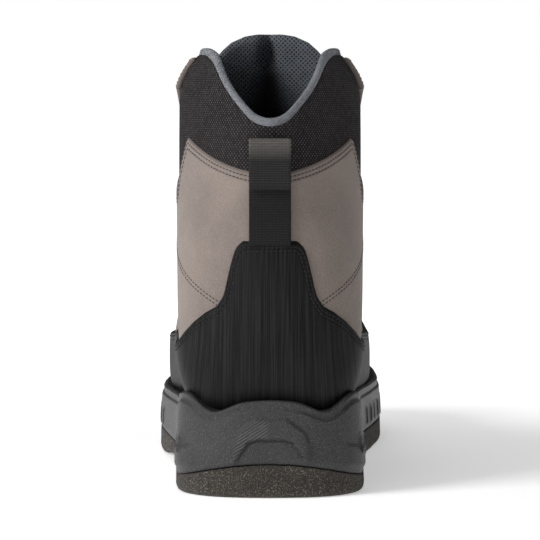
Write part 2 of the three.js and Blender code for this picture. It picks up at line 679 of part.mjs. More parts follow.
function makeFastener(row, sign) {
  const { at, aside, above, normal } = stayFrame(row, sign);
  const [near, far] = [-HOOK_REACH / 2, HOOK_REACH / 2];
  const [inner, arm] = [HOOK_METAL + HOOK_ROOM, 2 * HOOK_METAL + HOOK_ROOM];
  const outline = [[near, 0], [far, 0], [far, HOOK_METAL], [near + HOOK_METAL, HOOK_METAL],
    [near + HOOK_METAL, inner], [far - 0.6, inner], [far, arm - 0.3], [far - 0.8, arm], [near + 0.8, arm],
    [near, arm - 0.8]];
  const shape = shapeOf(outline);
  if (!row.hook) {
    const closed = shapeOf([[near, 0], [far, 0], [far, arm - 0.8], [far - 0.8, arm], [near + 0.8, arm], [near, arm - 0.8]]);
    closed.holes.push(new THREE.Path([[near + HOOK_METAL, HOOK_METAL], [near + HOOK_METAL, inner],
      [far - HOOK_METAL, inner], [far - HOOK_METAL, HOOK_METAL]].map(([a, b]) => new THREE.Vector2(a, b))));
    return place(closed);
  }
  return place(shape);

  function place(profile) {
    const g = new THREE.ExtrudeGeometry(profile, { depth: HOOK_WIDTH, bevelEnabled: false });
    g.translate(0, 0, -HOOK_WIDTH / 2);
    g.applyMatrix4(new THREE.Matrix4().makeBasis(aside, normal, above));
    const seat = at.clone().addScaledVector(normal, GAP + SEAT);
    g.translate(seat.x, seat.y, seat.z);
    return solid(g);
  }
}

// A tube through a list of points, with a flat end at each
function tubeThrough(points, radius, sides) {
  const tangents = points.map((p, i) => points[Math.min(i + 1, points.length - 1)].clone()
    .sub(points[Math.max(i - 1, 0)]).normalize());
  const across = new THREE.Vector3(0, 0, 1).cross(tangents[0]).normalize();
  const rings = points.map((p, i) => {
    across.addScaledVector(tangents[i], -across.dot(tangents[i])).normalize();
    const other = tangents[i].clone().cross(across);
    const ring = [];
    for (let k = 0; k < sides; k += 1) {
      const a = (k / sides) * 2 * Math.PI;
      ring.push(p.clone().addScaledVector(across, radius * Math.cos(a))
        .addScaledVector(other, radius * Math.sin(a)).toArray());
    }
    return ring;
  });
  const fan = [];
  for (let k = 1; k < sides - 1; k += 1) fan.push([0, k, k + 1]);
  return solid(bodyOfRings(rings, fan, fan));
}

// Lace: through every fastener and crossing between them, from one top hook to the other
const CROSS_UNDER = -2.1; // the two runs of crossings pass under and over each other
const CROSS_OVER = 1.3;
function lacePath() {
  const lift = GAP + SEAT + HOOK_METAL + GAP + LACE_RADIUS;
  const past = HOOK_WIDTH / 2 + LACE_RADIUS + 1;
  const pass = (row, sign, top) => {
    const { at, above, normal, aside } = stayFrame(row, sign);
    const place = (way, out, more) => at.clone().addScaledVector(normal, lift + more)
      .addScaledVector(above, way * past).addScaledVector(aside, out);
    const near = -HOOK_REACH * 0.68;
    const points = [place(-1, near, GAP), place(-1, -0.5, 0), place(top ? 0.9 : 1, -0.5, 0)];
    return top ? points : [...points, place(1, near, GAP)];
  };
  const crossing = (start, end, rise, drop) => [0.25, 0.5, 0.75].map((t) => {
    const arch = Math.sin(t * Math.PI);
    return frontPoint(mix(start.x, end.x, t), mix(start.z, end.z, t) - drop * arch,
      STAY_OUT + lift + 2 * GAP + rise * arch);
  });
  const strand = (first, rise) => {
    const points = [];
    FASTENERS.forEach((row, i) => {
      const next = pass(row, i % 2 === 0 ? first : -first, i === FASTENERS.length - 1);
      if (i > 0) points.push(...crossing(points[points.length - 1], next[0], rise, 0));
      points.push(...next);
    });
    return points;
  };
  const [one, two] = [strand(-1, CROSS_UNDER), strand(1, CROSS_OVER)];
  return [...[...one].reverse(), ...crossing(one[0], two[0], CROSS_UNDER, 2), ...two];
}

// Pull loop: webbing sewn to the back, its upper part standing off as a finger loop
function makeLoop() {
  const rest = PANEL + GAP + SEAT;
  const foot = COUNTER_ROWS[0].up * HEIGHT + GAP;
  const line = (out, from, to, steps) => {
    const points = [];
    for (let k = 0; k <= steps; k += 1) {
      const z = mix(from, to, k / steps);
      const bow = z > LOOP_SEAM && out.bowed
        ? LOOP_BOW * Math.sin(Math.PI * clamp((z - LOOP_SEAM) / (LOOP_TOP - LOOP_SEAM), 0, 1) ** 0.8) ** 0.6 : 0;
      points.push([backLine(z, rest) - out.by - bow, z]);
    }
    return points;
  };
  const peak = LOOP_TOP - WEBBING;
  const outside = line({ by: 2 * WEBBING, bowed: true }, LOOP_SEAM, LOOP_TOP, 8);
  const strip = line({ by: WEBBING, bowed: false }, foot, LOOP_SEAM - 1, 3);
  const inside = line({ by: 0, bowed: false }, LOOP_TOP, foot, 6);
  const shape = shapeOf([...strip, ...outside, ...inside].reverse());
  const hollow = [
    ...line({ by: WEBBING, bowed: true }, LOOP_SEAM + 1.5, peak, 6),
    ...line({ by: WEBBING, bowed: false }, peak - 0.3, LOOP_SEAM + 2, 4),
  ];
  shape.holes.push(new THREE.Path(hollow.map(([a, b]) => new THREE.Vector2(a, b))));
  const g = new THREE.ExtrudeGeometry(shape, { depth: LOOP_WIDTH, bevelEnabled: false });
  g.applyMatrix4(new THREE.Matrix4().makeBasis(
    new THREE.Vector3(0, 1, 0), new THREE.Vector3(0, 0, 1), new THREE.Vector3(1, 0, 0)));
  g.translate(-LOOP_WIDTH / 2, 0, 0);
  return solid(g);
}

// Finishes, and the assembly
const finish = (color, roughness, metalness = 0) => new THREE.MeshStandardMaterial({ color, roughness, metalness });
const FELT_GREY = finish(0x4a443d, 1);
const RUBBER = finish(0x3e4042, 0.6);
const NUBUCK = finish(0x8d827c, 0.9);
const COATED = finish(0x242525, 0.55);
const KNIT = finish(0x8f9299, 0.95);
const SPACER = finish(0x63676d, 0.95);
const FOAM = finish(0x3a3a3c, 0.95);
const WEB = finish(0x3c3b3b, 0.85);
const HOOK = finish(0x2a2a2b, 0.4, 0.6);
const CORD = finish(0x2e2d2d, 0.9);

const boot = new THREE.Group();
boot.position.y = -HEEL_CENTRE;
function add(name, body, material) {
  const { vertProperties, triVerts } = body.getMesh();
  const g = new THREE.BufferGeometry();
  g.setAttribute('position', new THREE.BufferAttribute(vertProperties, 3));
  g.setIndex(new THREE.BufferAttribute(triVerts, 1));
  g.computeVertexNormals();
  const mesh = new THREE.Mesh(g, material);
  mesh.name = name;
  boot.add(mesh);
}

const overlaySkin = form(PANEL + GAP + OVERLAY, 0).subtract(form(PANEL + GAP, GAP));
add('outsole_felt', makeFelt(), FELT_GREY);
add('midsole_rubber', makeMidsole(), RUBBER);
add('insole', makeInsole(), FOAM);
add('upper', makeUpper(), NUBUCK);
add('heel_counter', makeCounter(overlaySkin), COATED);
add('toe_rand', makeRand(overlaySkin), COATED);
add('tongue', makeTongue(), SPACER);
add('collar_lining', makeLining(), KNIT);
add('eyestay_lateral', makeStay(-1), NUBUCK);
add('eyestay_medial', makeStay(1), NUBUCK);
add('pull_loop', makeLoop(), WEB);
for (const row of FASTENERS) {
  add(`${row.name}_lateral`, makeFastener(row, -1), HOOK);
  add(`${row.name}_medial`, makeFastener(row, 1), HOOK);
}
add('lace', tubeThrough(lacePath(), LACE_RADIUS, LACE_SIDES), CORD);

export default boot;
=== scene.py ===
# %% [markdown]
# A wading boot for the left foot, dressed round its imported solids.
# The solids give every size: this script repeats the maker's tables, so each finished
# piece lies exactly where its solid lies, with finer edges, seams, relief and materials.

import math

import bmesh
import bpy
import numpy as np
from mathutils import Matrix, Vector


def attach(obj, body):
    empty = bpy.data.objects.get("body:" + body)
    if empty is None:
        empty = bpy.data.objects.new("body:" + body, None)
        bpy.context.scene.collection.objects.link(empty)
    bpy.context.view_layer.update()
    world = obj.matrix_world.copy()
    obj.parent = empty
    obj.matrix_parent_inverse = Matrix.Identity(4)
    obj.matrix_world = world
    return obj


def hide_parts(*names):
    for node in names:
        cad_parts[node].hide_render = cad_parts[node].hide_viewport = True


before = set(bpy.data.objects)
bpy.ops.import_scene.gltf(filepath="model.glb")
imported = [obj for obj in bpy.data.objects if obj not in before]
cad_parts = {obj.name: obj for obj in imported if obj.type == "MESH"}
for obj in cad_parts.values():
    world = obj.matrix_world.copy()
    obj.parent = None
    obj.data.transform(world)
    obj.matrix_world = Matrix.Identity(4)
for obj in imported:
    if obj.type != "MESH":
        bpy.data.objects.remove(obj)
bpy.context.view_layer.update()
print("nodes in the frame:", len(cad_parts))

# %% [markdown]
# The camera stands low and far behind the heel, as in a catalogue photograph, with a long lens.
# The floor is a pale sheet, and three soft boxes and a white surround light the boot:
# the strongest one is on the outer side, so the inner side falls into shade.

# %% Camera, floor and light
CAMERA_PLACE = (0.0, -1.345, 0.191)
CAMERA_PITCH = math.radians(3.9)
LENS_MM = 195.7


def put_in_scene(name, data):
    """A new object of a mesh, lamp or camera, linked to the scene."""
    made = bpy.data.objects.new(name, data)
    bpy.context.collection.objects.link(made)
    return made


def lamp(name, place, target, size, power):
    """A square soft box that looks at a target."""
    data = bpy.data.lights.new(name, "AREA")
    data.shape = "SQUARE"
    data.size = size
    data.energy = power
    made = put_in_scene(name, data)
    made.location = place
    made.rotation_euler = (Vector(target) - Vector(place)).to_track_quat("-Z", "Y").to_euler()
    return made


camera_data = bpy.data.cameras.new("camera")
camera_data.lens = LENS_MM
camera_data.sensor_width = 36
camera = put_in_scene("camera", camera_data)
camera.location = CAMERA_PLACE
camera.rotation_euler = (math.pi / 2 - CAMERA_PITCH, 0, 0)
scene = bpy.context.scene
scene.camera = camera
scene.view_settings.view_transform = "Standard"

lamp("soft_box_outer", (-1.5, -0.9, 1.15), (0, 0, 0.08), 0.8, 30)
lamp("soft_box_inner", (1.5, -0.9, 1.1), (0, 0, 0.08), 1.2, 0.5)
lamp("soft_box_top", (-0.35, -0.35, 1.9), (0, 0.05, 0.1), 1.0, 6.5)

world = bpy.data.worlds.new("white_surround")
world.use_nodes = True
surround = world.node_tree
SURROUND_LIGHT, SURROUND_SEEN = 0.12, 1.0
background = surround.nodes["Background"]
background.inputs["Color"].default_value = (1, 1, 1, 1)
seen = surround.nodes.new("ShaderNodeLightPath")
strength = surround.nodes.new("ShaderNodeMapRange")
strength.inputs["To Min"].default_value = SURROUND_LIGHT
strength.inputs["To Max"].default_value = SURROUND_SEEN
surround.links.new(seen.outputs["Is Camera Ray"], strength.inputs["Value"])
surround.links.new(strength.outputs["Result"], background.inputs["Strength"])
scene.world = world

# %% [markdown]
# Materials are built from nodes. One small function adds a node with its settings and links,
# another turns a paint code into the linear colour that a shader wants.
# Patterns read Object coordinates in metres, or a piece's own UV map in millimetres.

# %% Node helpers
def paint(code):
    """The linear colour of an sRGB paint code."""
    channels = [int(code[k:k + 2], 16) / 255 for k in (1, 3, 5)]
    return [c / 12.92 if c <= 0.04045 else ((c + 0.055) / 1.055) ** 2.4 for c in channels] + [1.0]


def add(tree, kind, settings=None, links=None):
    """A node with its settings and links; keys are socket names or numbers, or the node's own fields."""
    made = tree.nodes.new(kind)
    fields = {k: v for k, v in (settings or {}).items() if isinstance(k, str) and hasattr(made, k)}
    for name, value in fields.items():
        setattr(made, name, value)
    for key, value in (settings or {}).items():
        if key not in fields:
            made.inputs[key].default_value = value
    for key, source in (links or {}).items():
        tree.links.new(source, made.inputs[key])
    return made


def start_material(name, roughness, coat=0.0, metallic=0.0, sheen=0.0):
    """A material with a bare shader: (material, its tree, its shader, Object coordinates)."""
    made = bpy.data.materials.new(name)
    made.use_nodes = True
    tree = made.node_tree
    shader = tree.nodes["Principled BSDF"]
    shader.inputs["Roughness"].default_value = roughness
    shader.inputs["Metallic"].default_value = metallic
    shader.inputs["Coat Weight"].default_value = coat
    shader.inputs["Sheen Weight"].default_value = sheen
    place = add(tree, "ShaderNodeTexCoord").outputs["Object"]
    return made, tree, shader, place


def stretched(tree, place, scale):
    """Coordinates squeezed or drawn out along each axis."""
    return add(tree, "ShaderNodeMapping", {"Scale": scale}, {"Vector": place}).outputs["Vector"]


def noise(tree, place, scale, detail=3.0, roughness=0.55):
    settings = {"Scale": scale, "Detail": detail, "Roughness": roughness}
    return add(tree, "ShaderNodeTexNoise", settings, {"Vector": place}).outputs["Fac"]


def between(tree, value, low, high, to_low=0.0, to_high=1.0):
    """value taken from low..high to to_low..to_high, and held there."""
    settings = {1: low, 2: high, 3: to_low, 4: to_high}
    return add(tree, "ShaderNodeMapRange", settings, {0: value}).outputs[0]


def math_node(tree, operation, a, b):
    settings = {"operation": operation}
    links = {}
    for key, value in ((0, a), (1, b)):
        if isinstance(value, (int, float)):
            settings[key] = value
        else:
            links[key] = value
    return add(tree, "ShaderNodeMath", settings, links).outputs[0]


def times(tree, a, b):
    return math_node(tree, "MULTIPLY", a, b)


def mixed(tree, a, b, share):
    """share of a and the rest of b."""
    return math_node(tree, "ADD", times(tree, a, share), times(tree, b, round(1 - share, 3)))


def surface_map(tree):
    """The piece's own UV map, in millimetres."""
    return add(tree, "ShaderNodeUVMap", {"uv_map": "UVMap"}).outputs["UV"]


def carried(tree, name):
    """A number that the mesh carries at each of its points."""
    return add(tree, "ShaderNodeAttribute", {"attribute_name": name}).outputs["Fac"]


def blend_paint(tree, factor, a, b):
    """Colour a where factor is 0 and b where it is 1; each is a paint code or a socket."""
    made = add(tree, "ShaderNodeMix", {"data_type": "RGBA"}, {0: factor})
    for key, value in ((6, a), (7, b)):
        if isinstance(value, str):
            made.inputs[key].default_value = paint(value)
        else:
            tree.links.new(value, made.inputs[key])
    return made.outputs[2]


def bump(tree, height, depth, under=None):
    """A bump of height 0..1 that stands depth metres high, over another bump."""
    links = {"Height": height}
    if under is not None:
        links["Normal"] = under
    return add(tree, "ShaderNodeBump", {"Distance": depth, "Strength": 1.0}, links).outputs["Normal"]


def dress(tree, shader, colour, normal):
    """Gives the shader its colour and its relief."""
    tree.links.new(colour, shader.inputs["Base Color"])
    tree.links.new(normal, shader.inputs["Normal"])


def trough(tree, value, centre, half):
    """1 where value is at the centre, falling to 0 half away from it."""
    away = math_node(tree, "ABSOLUTE", math_node(tree, "SUBTRACT", value, centre), 0.0)
    return between(tree, away, 0.0, half, 1.0, 0.0)


# %% [markdown]
# Nubuck is buffed leather: a fine nap that scatters light, slow shifts of tone where it was
# brushed, and a darker cut edge. Each panel carries the distance from its own edge, in
# millimetres, so the seam's pressed grooves and the cut edge follow any outline.

# %% Nubuck
def make_nubuck(name, low, high, rows):
    """Napped leather between two tones, with pressed grooves at rows inside its edge."""
    made, tree, shader, place = start_material(name, 0.88, sheen=0.18)
    tone = between(tree, noise(tree, place, 38, 4), 0.35, 0.65)
    nap = between(tree, noise(tree, place, 1300, 3, 0.7), 0.35, 0.65)
    colour = blend_paint(tree, tone, low, high)
    colour = blend_paint(tree, times(tree, nap, 0.35), colour, "#a0958d")
    edge = carried(tree, "edge")
    cut = between(tree, edge, 0.1, 1.0, 1.0, 0.0)
    colour = blend_paint(tree, times(tree, cut, 0.7), colour, "#5d534e")
    relief = bump(tree, noise(tree, place, 900, 4, 0.7), 0.00022)
    relief = bump(tree, noise(tree, place, 120, 3), 0.0005, relief)
    for row in rows:
        groove = trough(tree, edge, row, 0.75)
        relief = bump(tree, math_node(tree, "SUBTRACT", 1.0, groove), 0.00028, relief)
        shade = times(tree, groove, 0.3)
        colour = blend_paint(tree, shade, colour, "#574e4a")
    dress(tree, shader, colour, relief)
    return made


QUARTER_ROWS = (1.5, 3.4)
nubuck = make_nubuck("taupe_nubuck", "#736862", "#82766f", QUARTER_ROWS)
print("made", nubuck.name)

# %% [markdown]
# The counter and toe rand are a textile with a thin black coating. It shows the cloth's
# upright slubs as fine uneven streaks, so the noise is squeezed sideways and drawn out
# in height.

# %% Coated textile
COUNTER_STITCH_ROWS = (1.6, 3.2)


def make_coated(name):
    """A black coated cloth with upright slubs."""
    made, tree, shader, place = start_material(name, 0.55)
    shader.inputs["Specular IOR Level"].default_value = 0.16
    uv = surface_map(tree)
    slub = noise(tree, stretched(tree, uv, (2.4, 0.02, 1)), 1.0, 3, 0.65)
    broad = noise(tree, stretched(tree, uv, (0.6, 0.01, 1)), 1.0, 2)
    weave = noise(tree, stretched(tree, place, (900, 900, 1500)), 1.0, 1)
    streak = mixed(tree, slub, broad, 0.65)
    colour = blend_paint(tree, between(tree, streak, 0.44, 0.58), "#080808", "#262626")
    edge = carried(tree, "edge")
    relief = bump(tree, slub, 0.00022)
    relief = bump(tree, weave, 0.00012, relief)
    for row in COUNTER_STITCH_ROWS:
        groove = trough(tree, edge, row, 0.7)
        relief = bump(tree, math_node(tree, "SUBTRACT", 1.0, groove), 0.0003, relief)
    colour = blend_paint(tree, between(tree, edge, 0.1, 0.9, 0.8, 0.0), colour, "#0d0d0d")
    dress(tree, shader, colour, relief)
    return made


coated = make_coated("black_coated_textile")
print("made", coated.name)

# %% [markdown]
# Spacer mesh is knitted with a regular net of small holes. On the collar it is charcoal
# with lighter knots; inside the tongue it is grey with open holes. The pattern follows the
# piece's own UV map, which is in millimetres, turned by 45 degrees: a Voronoi texture
# without randomness gives evenly set round cells.

# %% Meshes and knits
def net(tree, pitch, turn=math.pi / 4):
    """Distance from the nearest knot of a square net of that pitch in millimetres, 0..0.7."""
    uv = surface_map(tree)
    settings = {"Rotation": (0, 0, turn), "Scale": (1 / pitch, 1 / pitch, 1)}
    turned = add(tree, "ShaderNodeMapping", settings, {"Vector": uv}).outputs["Vector"]
    settings = {"voronoi_dimensions": "2D", "Scale": 1.0, "Randomness": 0.0}
    return add(tree, "ShaderNodeTexVoronoi", settings, {"Vector": turned}).outputs["Distance"]


def make_net(name, ground, knot, hole, pitch, open_holes, depth):
    """Spacer mesh: a net of knots, or of holes where open_holes is set."""
    made, tree, shader, place = start_material(name, 0.92)
    shader.inputs["Specular IOR Level"].default_value = 0.2
    away = net(tree, pitch)
    tone = between(tree, noise(tree, place, 60, 3), 0.35, 0.65)
    dot = between(tree, away, 0.16, 0.36, 1.0, 0.0)
    pick = times(tree, dot, between(tree, noise(tree, place, 500, 1), 0.35, 0.6, 0.35, 1.0))
    colour = blend_paint(tree, tone, ground, hole)
    colour = blend_paint(tree, pick, colour, knot)
    # painted shade: the colour goes near black where the piece carries "fold", the shade inside the tongue's
    # fold
    colour = blend_paint(tree, carried(tree, "fold"), colour, "#0c0c0e")
    height = math_node(tree, "SUBTRACT", 1.0, dot) if open_holes else dot
    relief = bump(tree, height, depth)
    relief = bump(tree, noise(tree, place, 1600, 2), 0.0002, relief)
    dress(tree, shader, colour, relief)
    return made


collar_mesh = make_net("charcoal_spacer_mesh", "#191718", "#5e5959", "#211f20", 1.4, False, 0.0004)
tongue_mesh = make_net("grey_spacer_mesh", "#63676d", "#1b1d20", "#54585e", 1.5, True, 0.0006)


def make_knit(name, low, high, pitch):
    """A soft knit with slanting ribs, pitch millimetres apart."""
    made, tree, shader, place = start_material(name, 0.95, sheen=0.3)
    uv = surface_map(tree)
    turned = add(tree, "ShaderNodeMapping", {"Rotation": (0, 0, 0.5)}, {"Vector": uv}).outputs["Vector"]
    settings = {"Scale": 1 / pitch, "Distortion": 1.2, "Detail": 2.0, "Detail Scale": 2.0}
    rib = add(tree, "ShaderNodeTexWave", settings, {"Vector": turned}).outputs["Fac"]
    stitch = net(tree, pitch * 1.1)
    height = times(tree, rib, between(tree, stitch, 0.1, 0.6, 1.0, 0.2))
    grain = between(tree, noise(tree, place, 700, 3), 0.3, 0.7)
    colour = blend_paint(tree, times(tree, height, 0.8), low, high)
    colour = blend_paint(tree, times(tree, grain, 0.25), colour, high)
    relief = bump(tree, height, 0.0009)
    relief = bump(tree, noise(tree, place, 1800, 2), 0.0003, relief)
    dress(tree, shader, colour, relief)
    return made


lining_knit = make_knit("grey_lining_knit", "#70747c", "#c3c7cf", 1.25)
# painted shade: the shell's inner cloth is painted near black to stand in for the shade deep inside the boot
inner_cloth_painted_shade = make_knit("inner_cloth_dark_as_painted_shade", "#0e0f11", "#222428", 1.3)
footbed = make_knit("footbed_cloth", "#131315", "#29292c", 1.0)
print("made", collar_mesh.name, tongue_mesh.name, lining_knit.name, inner_cloth_painted_shade.name)

# %% [markdown]
# The midsole is moulded rubber: satin, with the grain of a finely eroded mould, whose sparkle is painted
# into its colour as light flecks, painted glints.
# The outsole is needled felt: pressed fibres of several browns and greys with light
# flecks and dark spots.

# %% Rubber and felt
RIB_LEAN = math.radians(33)
RIB_PITCH = 0.0012105
WAVE_STEP = 0.314  # the length of a wave texture's band at a scale of 1


def make_rubber(name):
    """Satin moulded rubber with a grain whose sparkle is painted as light flecks (painted glints), ribbed
    where the mesh says so, with painted highlights on the ribs.
    """
    made, tree, shader, place = start_material(name, 0.42)
    shader.inputs["Specular IOR Level"].default_value = 0.55
    grain = noise(tree, place, 1900, 2, 0.6)
    patch = between(tree, noise(tree, place, 30, 3), 0.3, 0.7)
    colour = blend_paint(tree, patch, "#232323", "#302f2f")
    # painted glints: light flecks in the colour stand for the sparkle of the eroded grain
    colour = blend_paint(tree, between(tree, grain, 0.55, 0.68, 0.0, 0.5), colour, "#7b7c7f")
    relief = bump(tree, grain, 0.0005)
    relief = bump(tree, noise(tree, place, 300, 3), 0.0002, relief)
    leaning = add(tree, "ShaderNodeMapping", {"Rotation": (0, RIB_LEAN, 0)}, {"Vector": place})
    settings = {"bands_direction": "Z", "Scale": WAVE_STEP / RIB_PITCH}
    wave = add(tree, "ShaderNodeTexWave", settings, {"Vector": leaning.outputs["Vector"]})
    rib = times(tree, wave.outputs["Fac"], carried(tree, "ribs"))
    relief = bump(tree, rib, 0.0006, relief)
    # painted highlight: the crests of the heel band's ribs are painted lighter
    colour = blend_paint(tree, times(tree, rib, 0.4), colour, "#6f7072")
    dress(tree, shader, colour, relief)
    return made


def make_felt(name):
    """Pressed fibres with light flecks and dark spots."""
    made, tree, shader, place = start_material(name, 1.0, sheen=0.2)
    fibre = noise(tree, stretched(tree, place, (900, 900, 1300)), 1.0, 5, 0.75)
    fleck = noise(tree, place, 1500, 3, 0.75)
    spot = noise(tree, place, 420, 3, 0.7)
    colour = blend_paint(tree, between(tree, fibre, 0.35, 0.62), "#15120e", "#4a433a")
    colour = blend_paint(tree, between(tree, fleck, 0.55, 0.66), colour, "#aba294")
    colour = blend_paint(tree, between(tree, spot, 0.56, 0.7, 0.0, 0.75), colour, "#1a1714")
    relief = bump(tree, fibre, 0.0016)
    relief = bump(tree, fleck, 0.0007, relief)
    dress(tree, shader, colour, relief)
    return made


rubber = make_rubber("moulded_rubber")
felt = make_felt("needled_felt")

# %% [markdown]
# Webbing is woven from thick yarns: ribs across the strip, finer ones along it.
# Thread, lace and blackened metal are small, so a colour shift and a fine bump are enough.

# %% Webbing, thread, lace and metal
def make_webbing(name):
    """Ribbed webbing: darker on the lower strip, with a painted highlight on the top of the fold."""
    made, tree, shader, place = start_material(name, 0.85)
    shader.inputs["Specular IOR Level"].default_value = 0.25
    uv = surface_map(tree)
    across = add(tree, "ShaderNodeTexWave", {"bands_direction": "Y", "Scale": 0.42, "Distortion": 0.6},
                 {"Vector": uv}).outputs["Fac"]
    along = add(tree, "ShaderNodeTexWave", {"bands_direction": "X", "Scale": 0.5, "Distortion": 0.4},
                {"Vector": uv}).outputs["Fac"]
    height = mixed(tree, across, along, 0.65)
    colour = blend_paint(tree, between(tree, height, 0.2, 0.9), "#151414", "#3d3b3b")
    level = add(tree, "ShaderNodeSeparateXYZ", {}, {0: place}).outputs["Z"]
    # painted highlight: the top of the loop's fold is painted lighter, as light from above would make it
    fold_top_painted_highlight = between(tree, level, 0.1505, 0.1575, 0.0, 0.75)
    painted_highlight_tones = blend_paint(tree, between(tree, height, 0.2, 0.9), "#55524f", "#85817c")
    colour = blend_paint(tree, fold_top_painted_highlight, colour, painted_highlight_tones)
    under = between(tree, level, 0.1374, 0.1382, 0.45, 0.0)
    colour = blend_paint(tree, under, colour, "#131213")
    relief = bump(tree, height, 0.0005)
    relief = bump(tree, noise(tree, place, 1500, 2), 0.0002, relief)
    dress(tree, shader, colour, relief)
    return made


def make_plain(name, low, high, roughness, grain, depth, metallic=0.0):
    """A plain finish between two tones, with a fine bump."""
    made, tree, shader, place = start_material(name, roughness, metallic=metallic)
    tone = between(tree, noise(tree, place, grain, 3), 0.35, 0.65)
    dress(tree, shader, blend_paint(tree, tone, low, high), bump(tree, noise(tree, place, grain, 3), depth))
    return made


webbing = make_webbing("ribbed_webbing")
lace_cord = make_plain("braided_lace", "#1d1c1c", "#454343", 0.85, 900, 0.0004)
dark_metal = make_plain("blackened_metal", "#1c1c1d", "#2f2f30", 0.35, 300, 0.0001, 0.7)
seam_thread = make_plain("dark_thread", "#2b2625", "#4a4341", 0.8, 2500, 0.0001)
black_thread = make_plain("black_thread", "#070707", "#1c1c1c", 0.7, 2500, 0.0001)
pale_paper = make_plain("pale_floor_sheet", "#ffffff", "#fdfdfd", 0.9, 3, 0.0)

FLOOR_HALF = 12.0
floor_mesh = bpy.data.meshes.new("floor")
paper_tree = pale_paper.node_tree
paper_shader = paper_tree.nodes["Principled BSDF"]
paper_place = add(paper_tree, "ShaderNodeTexCoord").outputs["Object"]
from_boot = add(paper_tree, "ShaderNodeVectorMath", {"operation": "LENGTH"}, {0: paper_place})
glow = between(paper_tree, from_boot.outputs["Value"], 0.2, 0.8, 0.42, 1.0)
paper_shader.inputs["Emission Color"].default_value = (1, 1, 1, 1)
paper_tree.links.new(glow, paper_shader.inputs["Emission Strength"])
corners = [(-FLOOR_HALF, -FLOOR_HALF, 0), (FLOOR_HALF, -FLOOR_HALF, 0), (FLOOR_HALF, FLOOR_HALF, 0),
           (-FLOOR_HALF, FLOOR_HALF, 0)]
floor_mesh.from_pydata(corners, [], [(0, 1, 2, 3)])
floor_mesh.materials.append(pale_paper)
floor = put_in_scene("floor", floor_mesh)
print("materials:", len(bpy.data.materials))

# %% [markdown]
# The form of the foot. The solids were lofted through sections that fan from the toe round
# to the collar, and each section is a rounded outline with its own width, height and
# squareness. The same tables give any point here: at is the row, turn goes round the
# section (0 at its top, a quarter at the inner side, half at its back), and out moves the
# point off the form, which is how one layer lies on another. Millimetres, with y from
# the heel's back.

# %% Sizes and tables of the form
LENGTH, HEIGHT = 310.0, 208.0
BALL_WIDTH, HEEL_WIDTH, SHAFT_WIDTH = 112.0, 86.0, 85.0
TOE_HEIGHT, COLLAR_BACK, COLLAR_PEAK = 66.0, 167.0, 198.0
HEEL_SEAT, BALL_SEAT = 31.0, 22.0
HEEL_CENTRE = 45.0
GAP = 0.3
FORM = {
    "sole": [.968, .81, .66, .55, .42, .29, .161, .05, .019, .027, .041, .043, .039],
    "rise": [0, 0, 0, 0, 0, 0, 0, .022, .165, .39, .616, .842, 1.1],
    "front": [.968, .81, .66, .555, .484, .443, .414, .4, .394, .394, .4, .406, .413],
    "top": [0, .07, .15, .245, .385, .55, .7, .84, .945, 1.03, 1.118, 1.22, 1.33],
    "shaft": [0, 0, 0, .1, .4, .8, 1, 1, 1, 1, 1, 1, 1],
    "lateral": [.3, .375, .42, .432, .43, .461, .482, .487, .493, .498, .5, .5, .503],
    "medial": [.385, .42, .43, .415, .41, .449, .478, .487, .493, .498, .5, .5, .503],
    "wide": [.35, .35, .36, .38, .42, .46, .48, .46, .5, .57, .72, .85, .88],
    "low": [3.4, 4, 4, 4, 3.8, 3.5, 4.2, 3.9, 2.8, 2.35, 1.92, 1.63, 1.6],
    "high": [2.3, 2.4, 2.3, 2.2, 2.1, 2.1, 2.1, 2.1, 2.1, 2.2, 2.2, 2.2, 2.2],
}
SHOULDER_LEAN, SHOULDER_TOP, SHOULDER_DEPTH = 9.0, 198.5, 24.0


def mix(a, b, t):
    return a + (b - a) * t


def smooth(start, stop, value):
    t = np.clip((value - start) / (stop - start), 0, 1)
    return t * t * (3 - 2 * t)


def curve(values, at):
    """A smooth curve through a list of values, read at a fractional place."""
    values = np.asarray(values, float)
    last = len(values) - 1
    i = np.clip(np.floor(at).astype(int), 0, last - 1)
    t = at - i
    a, b, c, d = (values[np.clip(i + k, 0, last)] for k in (-1, 0, 1, 2))
    m, n = (c - a) / 2, (d - b) / 2
    ends = (2 * t**3 - 3 * t**2 + 1) * b + (3 * t**2 - 2 * t**3) * c
    ways = (t**3 - 2 * t**2 + t) * m + (t**3 - t**2) * n
    return ends + ways


def round_end(distance, depth, power):
    """0 at an end and 1 a depth behind it, on a rounded line."""
    t = np.clip(distance / depth, 0, 1)
    return (1 - (1 - t) ** power) ** (1 / power)


def spring_at(y):
    """How far the toe spring lifts the sole there."""
    return 9.0 * np.clip((y / LENGTH - 0.7) / 0.3, 0, 1) ** 2


def seat_at(y):
    """The height of the foot's seat on the midsole."""
    return mix(HEEL_SEAT, BALL_SEAT, smooth(0.22, 0.56, y / LENGTH)) + spring_at(y)


def leaned(points):
    """Points near the collar's top, drawn in towards the leg by the padding."""
    drawn = np.array(points, float)
    near_top = np.clip(1 - (SHOULDER_TOP - drawn[..., 2]) / SHOULDER_DEPTH, 0, 1)
    beside = smooth(10, 75, drawn[..., 1])
    drawn[..., 0] *= 1 - SHOULDER_LEAN * beside * near_top**2.2 / (SHAFT_WIDTH / 2)
    return drawn


